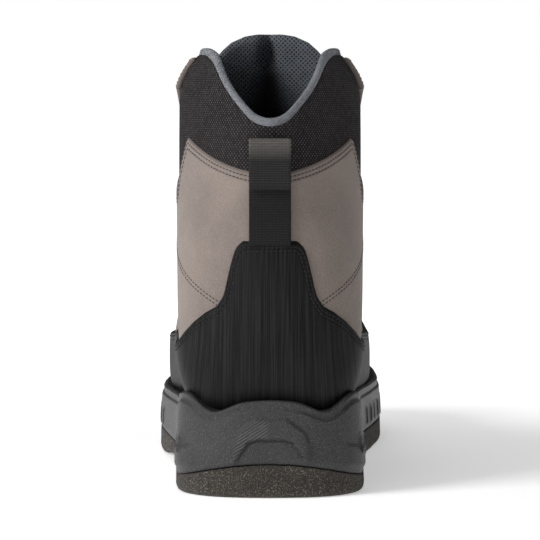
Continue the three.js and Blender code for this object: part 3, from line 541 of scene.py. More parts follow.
def form_point(at, turn, out=0.0, under=None):
    """Points of the form, moved off it by out at its sides and top and by under at its sole."""
    under = out if under is None else under
    at, turn, out, under = [np.asarray(v, float) for v in np.broadcast_arrays(at, turn, out, under)]
    read = {name: curve(values, at) for name, values in FORM.items()}
    toe = 1 - smooth(0, 2, at)
    back_y = read["sole"] * LENGTH
    distance = FORM["sole"][0] * LENGTH - back_y
    back_z = seat_at(back_y) + read["rise"] * (HEIGHT - HEEL_SEAT)
    top_y = read["front"] * LENGTH
    top_z = mix(TOE_HEIGHT, HEIGHT, read["top"])
    top_z = mix(back_z + 0.25 * (top_z - back_z), top_z, round_end(distance, 38, 2.4))
    span = np.hypot(top_y - back_y, top_z - back_z)
    way_y, way_z = (top_y - back_y) / span, (top_z - back_z) / span
    shut = round_end(distance, 66, 2.2)
    low = mix(under, out, smooth(6.5, 8.5, at)) * shut
    back_y, back_z = back_y - way_y * low + out * toe, back_z - way_z * low
    top_y, top_z = top_y + way_y * out * shut + out * toe, top_z + way_z * out * shut
    width = mix(BALL_WIDTH, SHAFT_WIDTH, np.clip(read["shaft"], 0, 1))
    lateral, medial = read["lateral"] * width, read["medial"] * width
    half = ((medial + lateral) / 2 + out) * shut
    sin, cos = np.sin(turn * 2 * np.pi), np.cos(turn * 2 * np.pi)
    power = np.where(cos >= 0, read["high"], read["low"])
    reach = (np.abs(sin) ** power + np.abs(cos) ** power) ** (-1 / power)
    t = read["wide"] + np.where(cos >= 0, 1 - read["wide"], read["wide"]) * cos * reach
    found = [(medial - lateral) / 2 + half * sin * reach, mix(back_y, top_y, t), mix(back_z, top_z, t)]
    return leaned(np.stack(found, -1))


print("collar's back at row 10:", form_point(10.0, 0.5).round(1))

# %% [markdown]
# Each panel is cut as a shoemaker cuts it: a grid on the form is trimmed along the panel's
# outline. The outline is where a field of the point (how far it is below an edge, outside
# the throat and so on) is zero. The grid's triangles are split along it, and along two lines
# just inside it, so the edge can be rounded over; then the panel gets its rim and underside.

# %% Trimming a grid into a panel
def run_along(points):
    """The distance run along a line of points."""
    return np.concatenate([[0], np.cumsum(np.linalg.norm(np.diff(points, axis=0), axis=-1))])


def quads_of(ids):
    """Faces of four between neighbours in rows and columns of point numbers."""
    return np.stack([ids[:-1, :-1], ids[:-1, 1:], ids[1:, 1:], ids[1:, :-1]], -1).reshape(-1, 4)


def carry(piece, name, values):
    """Stores a number at each point of a piece, for its material to read."""
    kept = piece.data.attributes.new(name, "FLOAT", "POINT")
    kept.data.foreach_set("value", np.asarray(values, dtype=np.float32).ravel())


def even(low, high, step, place):
    """Values from low to high whose points are about step apart."""
    fine = np.linspace(low, high, 400)
    points = place(fine)
    run = np.concatenate([[0], np.cumsum(np.linalg.norm(np.diff(points, axis=0), axis=-1).max(-1))])
    count = max(2, int(np.ceil(run[-1] / step)))
    return np.interp(np.linspace(0, run[-1], count + 1), run, fine)


def contour(points, values, level):
    """Lines on a grid of points along which the values are at a level."""
    above = values >= level
    found = {}

    def crossing(a, b):
        key = (a, b)
        if key not in found:
            t = (level - values[a]) / (values[b] - values[a])
            found[key] = points[a] + (points[b] - points[a]) * t
        return key

    square = above[:-1, :-1].astype(int) + above[1:, :-1] + above[:-1, 1:] + above[1:, 1:]
    joined = {}
    for i, j in np.argwhere((square > 0) & (square < 4)):
        ring = [(i, j), (i + 1, j), (i + 1, j + 1), (i, j + 1)]
        cut = []
        for a, b in zip(ring, ring[1:] + ring[:1]):
            if above[a] != above[b]:
                cut.append(crossing(*sorted((a, b))))
        for a, b in zip(cut[::2], cut[1::2]):
            joined.setdefault(a, []).append(b)
            joined.setdefault(b, []).append(a)
    lines = []
    left = set(joined)
    starts = [k for k in joined if len(joined[k]) == 1] + list(joined)
    for key in starts:
        if key not in left:
            continue
        line = [key]
        left.discard(key)
        while True:
            onward = [k for k in joined[line[-1]] if k in left]
            if not onward:
                break
            line.append(onward[0])
            left.discard(onward[0])
        if line[0] in joined[line[-1]] and len(line) > 2:
            line.append(line[0])
        lines.append(np.array([found[k] for k in line]))
    return [line for line in lines if len(line) > 2]


def distance_to(points, lines):
    """How far each point is from the nearest of the lines."""
    starts = np.concatenate([line[:-1] for line in lines])
    ways = np.concatenate([line[1:] - line[:-1] for line in lines])
    lengths = np.maximum((ways**2).sum(-1), 1e-12)
    flat = points.reshape(-1, 3)
    best = np.full(len(flat), np.inf)
    for k in range(0, len(flat), 4000):
        part = flat[k:k + 4000, None, :] - starts[None]
        t = np.clip((part * ways).sum(-1) / lengths, 0, 1)
        best[k:k + 4000] = np.sqrt((((part - t[..., None] * ways) ** 2).sum(-1)).min(-1))
    return best.reshape(points.shape[:-1])


def split_at(triangles, values, level):
    """Splits the triangles that cross a level. Returns triangles and the (a, b, t) of each new vertex."""
    new, made = [], {}
    count = len(values)

    def cut(a, b):
        key = (min(a, b), max(a, b))
        if key not in made:
            t = (level - values[key[0]]) / (values[key[1]] - values[key[0]])
            made[key] = count + len(new)
            new.append((key[0], key[1], t))
        return made[key]

    high = values > level + 1e-9
    low = values < level - 1e-9
    crossing = high[triangles].any(1) & low[triangles].any(1)
    kept = [triangles[~crossing]]
    extra = []
    for tri in triangles[crossing]:
        side = [1 if high[v] else -1 if low[v] else 0 for v in tri]
        polygons = {1: [], -1: []}
        for k in range(3):
            a, b = tri[k], tri[(k + 1) % 3]
            if side[k] == 0:
                polygons[1].append(a)
                polygons[-1].append(a)
            else:
                polygons[side[k]].append(a)
            if side[k] * side[(k + 1) % 3] < 0:
                point = cut(a, b)
                polygons[1].append(point)
                polygons[-1].append(point)
        for polygon in polygons.values():
            for k in range(1, len(polygon) - 1):
                extra.append((polygon[0], polygon[k], polygon[k + 1]))
    if extra:
        kept.append(np.array(extra))
    return np.concatenate(kept), new


def as_object(name, vertices, faces, material, uvs=None, edges=None):
    """A mesh object from millimetres measured from the heel's back."""
    mesh = bpy.data.meshes.new(name)
    placed = (np.asarray(vertices) - [0, HEEL_CENTRE, 0]) / 1000
    mesh.from_pydata(placed.tolist(), [], [tuple(int(v) for v in f) for f in faces])
    mesh.materials.append(material)
    if uvs is not None:
        layer = mesh.uv_layers.new(name="UVMap")
        index = np.zeros(len(mesh.loops), dtype=np.int32)
        mesh.loops.foreach_get("vertex_index", index)
        layer.data.foreach_set("uv", np.asarray(uvs, dtype=np.float32)[index].ravel())
    mesh.polygons.foreach_set("use_smooth", [True] * len(mesh.polygons))
    mesh.update()
    made = put_in_scene(name, mesh)
    if edges is not None:
        carry(made, "edge", edges)
    return made


def outward(vertices, faces):
    """The faces, turned round if their solid is inside out."""
    a, b, c = (vertices[faces[:, k]] for k in range(3))
    return faces if (a * np.cross(b, c)).sum() > 0 else faces[:, ::-1]


panel_lines = {}


def panel(name, rows, turns, field, top, base, material, step=2.0, bevel=0.8, under=None):
    """A panel on the form, from its base to its top, trimmed where the field is below zero."""
    probe = np.linspace(turns[0], turns[1], 9)
    at = even(rows[0], rows[1], step, lambda v: form_point(v[:, None], probe[None], top, under))
    probe_rows = np.linspace(rows[0], rows[1], 9)
    turn = even(turns[0], turns[1], step, lambda v: form_point(probe_rows[None], v[:, None], top, under))
    grid_at, grid_turn = np.meshgrid(at, turn, indexing="ij")
    points = form_point(grid_at, grid_turn, top, under)
    values = field(points)
    lines = contour(points, values, 0.0)
    away = distance_to(points, lines) * np.sign(values)
    panel_lines[name] = (points, away)
    middle = len(turn) // 2
    u = np.cumsum(np.linalg.norm(np.diff(points, axis=1, prepend=points[:, :1]), axis=-1), axis=1)
    u = u - u[:, middle:middle + 1]
    data = np.stack([grid_at, grid_turn, away, u, points[..., 2]], -1).reshape(-1, 5)
    n, m = grid_at.shape
    ids = np.arange(n * m).reshape(n, m)
    a, b, c, d = ids[:-1, :-1].ravel(), ids[1:, :-1].ravel(), ids[1:, 1:].ravel(), ids[:-1, 1:].ravel()
    triangles = np.concatenate([np.stack([a, b, c], 1), np.stack([a, c, d], 1)])
    near = data[:, 2] > -1.5 * step
    triangles = triangles[near[triangles].all(1)]
    for level in (0.0, 0.3 * bevel, bevel):
        triangles, new = split_at(triangles, data[:, 2], level)
        if new:
            first, second, t = (np.array([row[k] for row in new]) for k in range(3))
            extra = mix(data[first.astype(int)], data[second.astype(int)], t[:, None])
            extra[:, 2] = level
            data = np.concatenate([data, extra])
    triangles = triangles[(data[:, 2][triangles] > -1e-6).all(1) & (data[:, 2][triangles].max(1) > 1e-6)]
    used, flat = np.unique(triangles, return_inverse=True)
    data, triangles = data[used], flat.reshape(-1, 3)
    edge = np.clip(data[:, 2], 0, None)
    fall = np.clip(1 - edge / bevel, 0, 1)
    roll = min(bevel, (top - base) * 0.8) * (1 - np.sqrt(np.clip(1 - fall**2, 0, 1)))
    shell = form_point(data[:, 0], data[:, 1], top - roll, None if under is None else under - roll)
    floor_out = base if under is None else under - (top - base)
    below = form_point(data[:, 0], data[:, 1], base, None if under is None else floor_out)
    faces = [triangles, triangles[:, ::-1] + len(data)]
    sides = np.concatenate([triangles[:, [0, 1]], triangles[:, [1, 2]], triangles[:, [2, 0]]])
    forward = {(x, y) for x, y in sides.tolist()}
    rim = np.array([(x, y) for x, y in forward if (y, x) not in forward])
    faces += [np.stack([rim[:, 1], rim[:, 0], rim[:, 0] + len(data)], 1)]
    faces += [np.stack([rim[:, 1], rim[:, 0] + len(data), rim[:, 1] + len(data)], 1)]
    vertices = np.concatenate([shell, below])
    faces = outward(vertices, np.concatenate(faces))
    uvs = np.concatenate([data[:, 3:5]] * 2)
    made = as_object(name, vertices, faces, material, uvs, np.concatenate([edge, edge * 0]))
    print(name, len(made.data.polygons), "triangles")
    return made


def finish_piece(piece, slot, *nodes):
    """Puts a piece on the part's body in place of any solids named; the slot is not used."""
    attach(piece, "root")
    if nodes:
        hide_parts(*nodes)
    return piece


# %% [markdown]
# Stitches repeat along a line, so Geometry Nodes make them: the line is resampled at the
# stitch pitch, and a small rounded bead of thread is set on each point along the line's way.
# A fixed seed varies their length a little, as a machine's feed does.

# %% Stitch tree
def new_tree(name, numbers):
    """A tree with named float inputs, a seed and a material: (tree, input node, output node)."""
    tree = bpy.data.node_groups.new(name, "GeometryNodeTree")
    tree.interface.new_socket("Geometry", in_out="OUTPUT", socket_type="NodeSocketGeometry")
    tree.interface.new_socket("Geometry", in_out="INPUT", socket_type="NodeSocketGeometry")
    for label in numbers:
        tree.interface.new_socket(label, in_out="INPUT", socket_type="NodeSocketFloat")
    tree.interface.new_socket("Seed", in_out="INPUT", socket_type="NodeSocketInt")
    tree.interface.new_socket("Material", in_out="INPUT", socket_type="NodeSocketMaterial")
    return tree, tree.nodes.new("NodeGroupInput"), tree.nodes.new("NodeGroupOutput")


def grown(name, source, tree, values):
    """The plain mesh that a tree makes from a source object, which is removed."""
    modifier = source.modifiers.new("grow", "NODES")
    modifier.node_group = tree
    for item in tree.interface.items_tree:
        if item.in_out == "INPUT" and item.name in values:
            modifier[item.identifier] = values[item.name]
    bpy.context.view_layer.update()
    evaluated = source.evaluated_get(bpy.context.evaluated_depsgraph_get())
    mesh = bpy.data.meshes.new_from_object(evaluated)
    source.modifiers.remove(modifier)
    bpy.data.objects.remove(source)
    mesh.name = name
    mesh.polygons.foreach_set("use_smooth", [True] * len(mesh.polygons))
    return put_in_scene(name, mesh)


stitching, given, result = new_tree("stitch_rows", ["Pitch", "Length", "Thread"])
line_in = add(stitching, "GeometryNodeMeshToCurve", None, {"Mesh": given.outputs["Geometry"]})
spaced = add(stitching, "GeometryNodeResampleCurve", {"mode": "LENGTH"},
             {"Curve": line_in.outputs[0], "Length": given.outputs["Pitch"]})
bead = add(stitching, "GeometryNodeMeshUVSphere", {"Segments": 6, "Rings": 4, "Radius": 0.5})
tangent = add(stitching, "GeometryNodeInputTangent")
turned = add(stitching, "FunctionNodeAlignRotationToVector", {"axis": "X"}, {"Vector": tangent.outputs[0]})
feed = add(stitching, "FunctionNodeRandomValue", {"data_type": "FLOAT", 2: 0.82, 3: 1.08},
           {"Seed": given.outputs["Seed"]})
reach = add(stitching, "ShaderNodeMath", {"operation": "MULTIPLY"},
            {0: given.outputs["Length"], 1: feed.outputs[1]})
shape = add(stitching, "ShaderNodeCombineXYZ", None,
            {"X": reach.outputs[0], "Y": given.outputs["Thread"], "Z": given.outputs["Thread"]})
beads = add(stitching, "GeometryNodeInstanceOnPoints", None,
            {"Points": spaced.outputs[0], "Instance": bead.outputs["Mesh"], "Rotation": turned.outputs[0],
             "Scale": shape.outputs[0]})
real = add(stitching, "GeometryNodeRealizeInstances", None, {"Geometry": beads.outputs[0]})
dyed = add(stitching, "GeometryNodeSetMaterial", None,
           {"Geometry": real.outputs[0], "Material": given.outputs["Material"]})
stitching.links.new(dyed.outputs[0], result.inputs[0])


def stitches(name, lines, material, slot, pitch=2.1, length=1.75, thread=0.55, seed=3):
    """Rows of stitches along lines in millimetres."""
    points, edges = [], []
    for line in lines:
        start = len(points)
        points += ((line - [0, HEEL_CENTRE, 0]) / 1000).tolist()
        edges += [(start + k, start + k + 1) for k in range(len(line) - 1)]
    mesh = bpy.data.meshes.new(name)
    mesh.from_pydata(points, edges, [])
    source = put_in_scene(name, mesh)
    values = {"Pitch": pitch / 1000, "Length": length / 1000, "Thread": thread / 1000, "Seed": seed,
              "Material": material}
    made = finish_piece(grown(name, source, stitching, values), slot)
    print(name, len(lines), "rows,", len(made.data.polygons), "faces")
    return made


def rows_along(name, distances, keep):
    """Lines at given distances inside a panel's edge, where keep is true."""
    points, away = panel_lines[name]
    found = []
    for distance in distances:
        for line in contour(points, away, distance):
            wanted = keep(line)
            changes = np.flatnonzero(np.diff(wanted.astype(int))) + 1
            for part, flags in zip(np.split(line, changes), np.split(wanted, changes)):
                if flags[0] and len(part) > 5:
                    found.append(part)
    return found


# %% [markdown]
# The fields that cut the panels: the collar's edge and the nubuck's edge seen from the side,
# the counter's outline seen from behind, the toe rand's edge from the side and the throat
# from the front. All repeat the solids' tables.

# %% Outlines of the panels
def side_line(along, heights, steps=120):
    """A smooth edge seen from the side: arrays of y and z."""
    t = np.linspace(0, len(along) - 1, steps)
    return curve(np.array(along) * LENGTH, t), curve(heights, t)


def softened(line, reach=6):
    """A side line, evened over a few millimetres."""
    weights = np.hanning(2 * reach + 1)
    y = np.arange(line[0][0], line[0][-1], 1.0)
    z = np.pad(np.interp(y, *line), reach, mode="edge")
    return y, np.convolve(z, weights / weights.sum(), mode="valid")


collar_rise = np.array([-.07, -.07, .17, .52, .84, .97, 1, .97, .86, .7, .6])
COLLAR_LINE = softened(side_line([-.1, .035, .065, .103, .145, .2, .258, .306, .35, .4, .5],
                                 COLLAR_BACK + (COLLAR_PEAK - COLLAR_BACK) * collar_rise))
PANEL_ALONG = np.array([-.1, .038, .09, .16, .166, .22, .26, .31, .345, .38]) * LENGTH
PANEL_UP = mix(HEEL_SEAT, COLLAR_BACK, np.array([.83, .83, .878, .948, .75, .8, .84, .91, 1.1, 1.7]))
counter_across = [0, .15, .185, .203, .221, .235, .249, .286, .351, .406, .45, .48, .5, .53, .7]
counter_up = [.545, .545, .53, .508, .478, .451, .429, .405, .39, .372, .352, .335, .32, .31, .3]
COUNTER_ACROSS, COUNTER_UP = np.array(counter_across) * HEEL_WIDTH, np.array(counter_up) * HEIGHT
COUNTER_END = 0.36 * LENGTH
RAND_LINE = side_line([.36, .45, .56, .68, .76, .82, .86],
                      np.array([.318, .3, .285, .28, .3, .345, .42]) * HEIGHT)
THROAT_END, THROAT_TOP, THROAT_TOE = 104.0, 32.0, 13.0
THROAT_START = 0.26 * LENGTH
ROLL = 2.6


def throat_half(z):
    """Half the throat's width at a height."""
    return mix(THROAT_TOE, THROAT_TOP, np.clip((z - THROAT_END) / (COLLAR_PEAK - THROAT_END), 0, 1) ** 0.8)


def below_collar(p, lift=0.0):
    """Millimetres below the collar's edge."""
    return np.interp(p[..., 1], *COLLAR_LINE) + lift - p[..., 2]


def outside_throat(p, extra=0.0, end=THROAT_END):
    """Millimetres outside the throat, or outside a line that lies extra further out."""
    levels = np.linspace(end, COLLAR_PEAK + ROLL + 12, 7)
    halves = throat_half(levels) + extra
    halves[0] *= 0.7
    beside = np.abs(p[..., 0]) - np.interp(p[..., 2], levels, halves)
    return np.maximum(np.maximum(beside, end - p[..., 2]), THROAT_START - p[..., 1])


def nubuck_field(p):
    """Inside the nubuck: below the collar panel, outside the throat, above the sole."""
    edge = np.interp(p[..., 1], PANEL_ALONG, PANEL_UP) - p[..., 2]
    return np.minimum.reduce([edge, outside_throat(p), below_collar(p), p[..., 2] - seat_at(p[..., 1]) - 2])


def counter_field(p):
    """Inside the heel counter."""
    top = np.interp(np.abs(p[..., 0]), COUNTER_ACROSS, COUNTER_UP) - p[..., 2]
    return np.minimum.reduce([top, COUNTER_END - p[..., 1], p[..., 2] - HEEL_SEAT - 3])


def rand_field(p):
    """Inside the toe rand."""
    top = np.interp(p[..., 1], *RAND_LINE) - p[..., 2]
    return np.minimum.reduce([top, p[..., 1] - COUNTER_END - GAP, p[..., 2] - seat_at(p[..., 1]) - 3])


# %% [markdown]
# The upper is one hollow lasted shell. Its outer face shows as the charcoal mesh collar,
# its inner face as the cloth inside the boot, painted near black as painted shade for the
# boot's deep interior, and the nubuck lies on it in three panels: an outer quarter, an inner
# quarter and a vamp, 1.2 mm proud as in the solid.

# %% Shell and nubuck panels
PANEL, WALL, OVERLAY, STAY = 1.2, 2.4, 1.7, 1.2
UNDER_HALF, UNDER_LIFT, INSIDE = 26.0, 3.0, 9.0


def shell_field(p):
    """Inside the shell: below the collar, outside the throat and off the open underside."""
    over_seat = p[..., 2] - seat_at(p[..., 1]) - UNDER_LIFT
    bottom = np.where(np.abs(p[..., 0]) < UNDER_HALF, over_seat, INSIDE)
    return np.minimum.reduce([below_collar(p), outside_throat(p), bottom])


shell = panel("collar_panel_and_shell", (0.02, 12), (0.0, 1.0), shell_field, 0.0, -WALL, collar_mesh,
              step=2.6)
shell.data.materials.append(inner_cloth_painted_shade)
inner_faces = np.zeros(len(shell.data.polygons), dtype=np.int32)
vertex_count = len(shell.data.vertices) // 2
for polygon in shell.data.polygons:
    inner_faces[polygon.index] = int(sum(v >= vertex_count for v in polygon.vertices) == 3)
shell.data.polygons.foreach_set("material_index", inner_faces)
finish_piece(shell, "spacer_mesh", "upper")

VAMP_SEAM = 0.475 * LENGTH
SEAM_LEAN = 0.55


def before_seam(p):
    """Millimetres behind the seam of quarter and vamp, which leans back towards the throat."""
    return VAMP_SEAM - SEAM_LEAN * (p[..., 2] - 60) - p[..., 1]


def quarter_field(side):
    """The field of one side's quarter."""
    return lambda p: np.minimum.reduce([nubuck_field(p), before_seam(p), side * p[..., 0] + 0.4])


quarters = {}
for label, side, turns in (("quarter_lateral", -1, (0.5, 0.98)), ("quarter_medial", 1, (0.02, 0.5))):
    piece = panel(label, (3.0, 12), turns, quarter_field(side), PANEL, 0.05, nubuck, step=1.8, under=0.0)
    quarters[label] = finish_piece(piece, "nubuck")
vamp = panel("vamp", (0.0, 9), (-0.5, 0.5), lambda p: np.minimum(nubuck_field(p), 4 - before_seam(p)),
             PANEL - 0.5, 0.05, nubuck, step=2.2, under=0.0)
finish_piece(vamp, "nubuck")

# %% [markdown]
# Counter and toe rand are coated overlays, 1.7 mm thick, bonded over the nubuck.
# The eyestays are narrow nubuck strips along the throat.

# %% Counter, rand and eyestays
SKIN = PANEL + GAP + OVERLAY
counter = panel("heel_counter_cover", (4.5, 10), (0.06, 0.94), counter_field, SKIN, PANEL + 0.05, coated,
                step=1.4, bevel=1.0, under=0.0)
finish_piece(counter, "coated_textile", "heel_counter")
rand = panel("toe_rand_cover", (0.0, 6.5), (-0.5, 0.5), rand_field, SKIN, PANEL - 0.3, coated,
             step=2.0, bevel=1.0)
finish_piece(rand, "coated_textile", "toe_rand")


STAY_WIDTH, STAY_FOOT, STAY_ROW = 15.0, THROAT_END - 8, 1.6


def stay_field(side):
    """The field of one side's eyestay: a strip beside the throat, 1 mm below the collar."""
    def field(p):
        outer = -outside_throat(p, STAY_WIDTH, STAY_FOOT)
        inner = outside_throat(p, 0.4)
        high = np.where(p[..., 2] > STAY_FOOT, INSIDE, p[..., 2] - STAY_FOOT)
        return np.minimum.reduce([outer, inner, below_collar(p, -1.0), side * p[..., 0] - 1.5, high])
    return field


stay_rows = []
for label, side, turns in (("eyestay_lateral", -1, (0.62, 1.0)), ("eyestay_medial", 1, (0.0, 0.38))):
    strip_name = f"{label}_strip"
    piece = panel(strip_name, (2.5, 12), turns, stay_field(side), PANEL + GAP + STAY, 0.05, nubuck, step=1.0)
    finish_piece(piece, "nubuck", label)
    stay_rows += rows_along(strip_name, (STAY_ROW,), lambda p: below_collar(p) > 2)

# %% [markdown]
# Seams: double rows inside the quarters' edges and the counter's, one row on the toe rand
# and the eyestays, and a curved double row over each ankle that starts under the counter.

# %% Seam rows
def rows_at_height(turn, z, out):
    """The row of the form at which a point of that turn has that height."""
    low = np.full(np.shape(turn), 5.0)
    high = np.full(np.shape(turn), 12.0)
    for _ in range(30):
        middle = (low + high) / 2
        under_z = form_point(middle, turn, out, 0.0)[..., 2] < z
        low, high = np.where(under_z, middle, low), np.where(under_z, high, middle)
    return (low + high) / 2


def surface_line(turns, heights, out, steps=90):
    """A smooth line on the form through places given by turn and height."""
    t = np.linspace(0, len(turns) - 1, steps)
    turn, z = curve(turns, t), curve(heights, t)
    return form_point(rows_at_height(turn, z, out), turn, out, 0.0)


quarter_rows = []
for label in quarters:
    quarter_rows += rows_along(label, QUARTER_ROWS, lambda p: (
        (p[:, 2] > 66) & (outside_throat(p) > 13) & (below_collar(p) > 3)
        & ((np.abs(p[:, 0]) > 9) | (p[:, 1] > 60)) & (counter_field(p) < -1)))
ANKLE_TURNS = np.array([0.425, 0.375, 0.335, 0.29, 0.25, 0.21, 0.175])
ANKLE_HEIGHTS = np.array([84, 92, 99, 108, 115, 121, 124])
ANKLE_GAP, RAND_ROW = 1.9, 1.8
for shift in (0.0, ANKLE_GAP):
    for turns in (ANKLE_TURNS, 1 - ANKLE_TURNS):
        quarter_rows.append(surface_line(turns, ANKLE_HEIGHTS + shift, PANEL))
stitches("quarter_stitches", quarter_rows, seam_thread, "nubuck")
stitches("eyestay_stitches", stay_rows, seam_thread, "nubuck")
overlay_rows = rows_along("heel_counter_cover", COUNTER_STITCH_ROWS,
                          lambda p: (p[:, 2] > 52) & (p[:, 1] < COUNTER_END - 4))
overlay_rows += rows_along("toe_rand_cover", (RAND_ROW,),
                           lambda p: (p[:, 2] > 48) & (p[:, 1] > COUNTER_END + 3))
stitches("overlay_stitches", overlay_rows, black_thread, "coated_textile", thread=0.6)

# %% [markdown]
# The sole is built as rings round its outline. The outline is sampled every millimetre, so
# the wavy top, the step below it, the lugs, the side slots and the heel's chevron band are
# all moved into the rings as low relief, as a mould would form them.

# %% Outline of the sole
SOLE = {
    "along": [0, .1, .22, .34, .45, .56, .67, .79, .9, 1.0],
    "ball": [0, 0, .1, .4, .8, 1, 1, 1, 1, 1],
    "lateral": [.485, .5, .497, .478, .478, .492, .487, .45, .395, .34],
    "medial": [.485, .5, .487, .45, .432, .465, .508, .502, .465, .425],
}


def sole_half(y):
    """The middle and half the width of the sole's outline."""
    at = np.interp(y / LENGTH, SOLE["along"], np.arange(10))
    width = mix(HEEL_WIDTH, BALL_WIDTH, np.clip(curve(SOLE["ball"], at), 0, 1))
    lateral, medial = curve(SOLE["lateral"], at) * width, curve(SOLE["medial"], at) * width
    ends = round_end(y, 33, 2.5) * round_end(LENGTH - y, 72, 2.4)
    return (medial - lateral) / 2, ends * (medial + lateral) / 2


def sole_outline(step):
    """Evenly spaced points round the outline from the heel's back: x, y, normal and share of a side."""
    rise = np.linspace(0, np.pi, 1600)
    y = LENGTH * (1 - np.cos(rise)) / 2
    centre, half = sole_half(y)
    loop = []
    for side in (1, -1):
        line = np.stack([centre + side * half, y], -1)
        run = run_along(line)
        at = np.linspace(0, run[-1], int(run[-1] / step) + 1)
        x_even, y_even = (np.interp(at, run, line[:, k]) for k in (0, 1))
        loop.append(np.stack([x_even, y_even, at / run[-1]], -1))
    points = np.concatenate([loop[0], loop[1][-2:0:-1]])
    ahead, behind = np.roll(points[:, :2], -1, 0), np.roll(points[:, :2], 1, 0)
    way = ahead - behind
    way /= np.linalg.norm(way, axis=1)[:, None]
    return points[:, 0], points[:, 1], np.stack([way[:, 1], -way[:, 0]], -1), points[:, 2]


WALL_SHARE = [0, .035, .075, .125, .19, .32, .46, .62, .78, .9, 1.0]
WALL_RISE = [1, .9, .52, 1.2, .75, .3, .1, 0, .05, .25, .45]
HEEL_CREST, CUP_FRONT, STEP_DROP = 44.0, 33.0, 4.2
outline_x, outline_y, outline_n, outline_share = sole_outline(0.9)
outline_rise = curve(WALL_RISE, np.interp(outline_share, WALL_SHARE, np.arange(11)))
outline_wall = CUP_FRONT + (HEEL_CREST - CUP_FRONT) * outline_rise + spring_at(outline_y)
outline_across = np.clip(np.abs(outline_x - sole_half(outline_y)[0]) / (HEEL_WIDTH / 2), 0, 1)
outline_felt = (mix(mix(15.0, 7.5, outline_across**2), 12.0, smooth(0.07, 0.2, outline_y / LENGTH))
                + spring_at(outline_y))
outline_arch = 4.0 * smooth(0.24, 0.33, outline_y / LENGTH) * (1 - smooth(0.42, 0.52, outline_y / LENGTH))
outline_floor = spring_at(outline_y) + outline_arch
print("outline points:", len(outline_x))

# %% [markdown]
# A ring is the outline moved in by an inset and up to a height. Rings joined in order make
# the wall, and strips across close the first and the last one.

# %% Rings to a closed piece
def ring_piece(name, insets, heights, material):
    """A closed piece from rings: insets and heights are arrays of rings by outline points."""
    insets, heights = np.asarray(insets), np.asarray(heights)
    rings, count = heights.shape
    x = outline_x - outline_n[:, 0] * insets
    y = outline_y - outline_n[:, 1] * insets
    vertices = np.stack([x, y, heights], -1).reshape(-1, 3)
    ids = np.arange(rings * count).reshape(rings, count)
    nxt = np.roll(ids, -1, axis=1)
    faces = np.stack([ids[:-1], nxt[:-1], nxt[1:], ids[1:]], -1).reshape(-1, 4).tolist()
    mesh_faces = [tuple(f) for f in faces]
    half = int(np.argmax(outline_y))
    for level, turned in ((0, True), (rings - 1, False)):
        for i in range(half):
            a, b = ids[level, i], ids[level, i + 1]
            c, d = ids[level, (count - i - 1) % count], ids[level, (count - i) % count]
            quad = [a, b, c, d]
            quad = [v for k, v in enumerate(quad) if v not in quad[:k]]
            if len(quad) > 2:
                mesh_faces.append(tuple(quad[::-1] if turned else quad))
    made = as_object(name, vertices, mesh_faces, material)
    print(name, len(made.data.polygons), "faces")
    return made


# %% [markdown]
# The felt outsole: a flat slab with a soft lower edge. Its side is a little uneven, as cut
# felt is, from a fixed pattern of waves of several lengths.

# %% Felt outsole
WAVES, WAVE_SWING = 14, 2.2


def ripple(x, y, z, seed):
    """Uneven but repeatable waves, about -1 to 1."""
    value = np.zeros(np.broadcast(x, y, z).shape)
    source = np.random.default_rng(seed)
    for _ in range(WAVES):
        way = source.normal(size=3) * source.choice([0.5, 1.1, 2.1])
        value += np.sin(way[0] * x + way[1] * y + way[2] * z + source.uniform(0, 6.3)) / WAVES
    return value * WAVE_SWING


EDGE_RISES = np.array([[0.0], [0.3], [0.9], [1.9]])
EDGE_INSETS = np.array([[3.0], [1.6], [0.85], [0.3]])
WALL_START, WALL_LEAN, ROUGHNESS = 3.4, 0.2, 0.28
felt_levels = np.linspace(0, 1, 12)[:, None]
felt_height = mix(outline_floor + WALL_START, outline_felt, felt_levels)
felt_heights = np.concatenate([outline_floor + EDGE_RISES, felt_height])
felt_insets = np.repeat(np.concatenate([EDGE_INSETS, felt_levels * WALL_LEAN]), len(outline_x), 1)
rough = ripple(outline_x, outline_y, felt_heights, 5)
felt_insets[1:] += ROUGHNESS * np.abs(rough[1:])
felt_sole = ring_piece("felt_sole", felt_insets, felt_heights, felt)
finish_piece(felt_sole, "felt", "outsole_felt")

# %% [markdown]
# The midsole. From the felt up: a small foot, the flared wall, a step that runs parallel to
# the wavy top, the lip, and a shelf that goes in under the counter. The relief is added as a
# depth in millimetres at each point of the wall.

# %% Midsole
def soft_box(value, low, high, blur):
    """1 between low and high, 0 outside, with soft ends."""
    return smooth(low - blur, low + blur, value) * (1 - smooth(high - blur, high + blur, value))


WALL_RINGS = 46
STEP_DEPTH, LIP_RISE, LIP_ROUND = 1.0, 0.35, 1.4
rise = np.linspace(0, 1, WALL_RINGS)[:, None]
wall_low = outline_felt + GAP
wall_z = mix(wall_low, outline_wall, rise)
from_top = outline_wall - wall_z
profile = np.interp(rise, [0, .06, .12, .6, .8, 1.0], [.8, .15, 0, .5, .8, 1.0]) * np.ones_like(wall_z)
profile += STEP_DEPTH * (1 - smooth(STEP_DROP - 0.5, STEP_DROP + 0.5, from_top))
lip = np.exp(-((from_top - 0.9) / 0.7) ** 2)
profile -= LIP_RISE * lip
profile += LIP_ROUND * np.clip(1 - from_top / 0.9, 0, 1) ** 2
wall_x = outline_x * np.ones_like(wall_z)

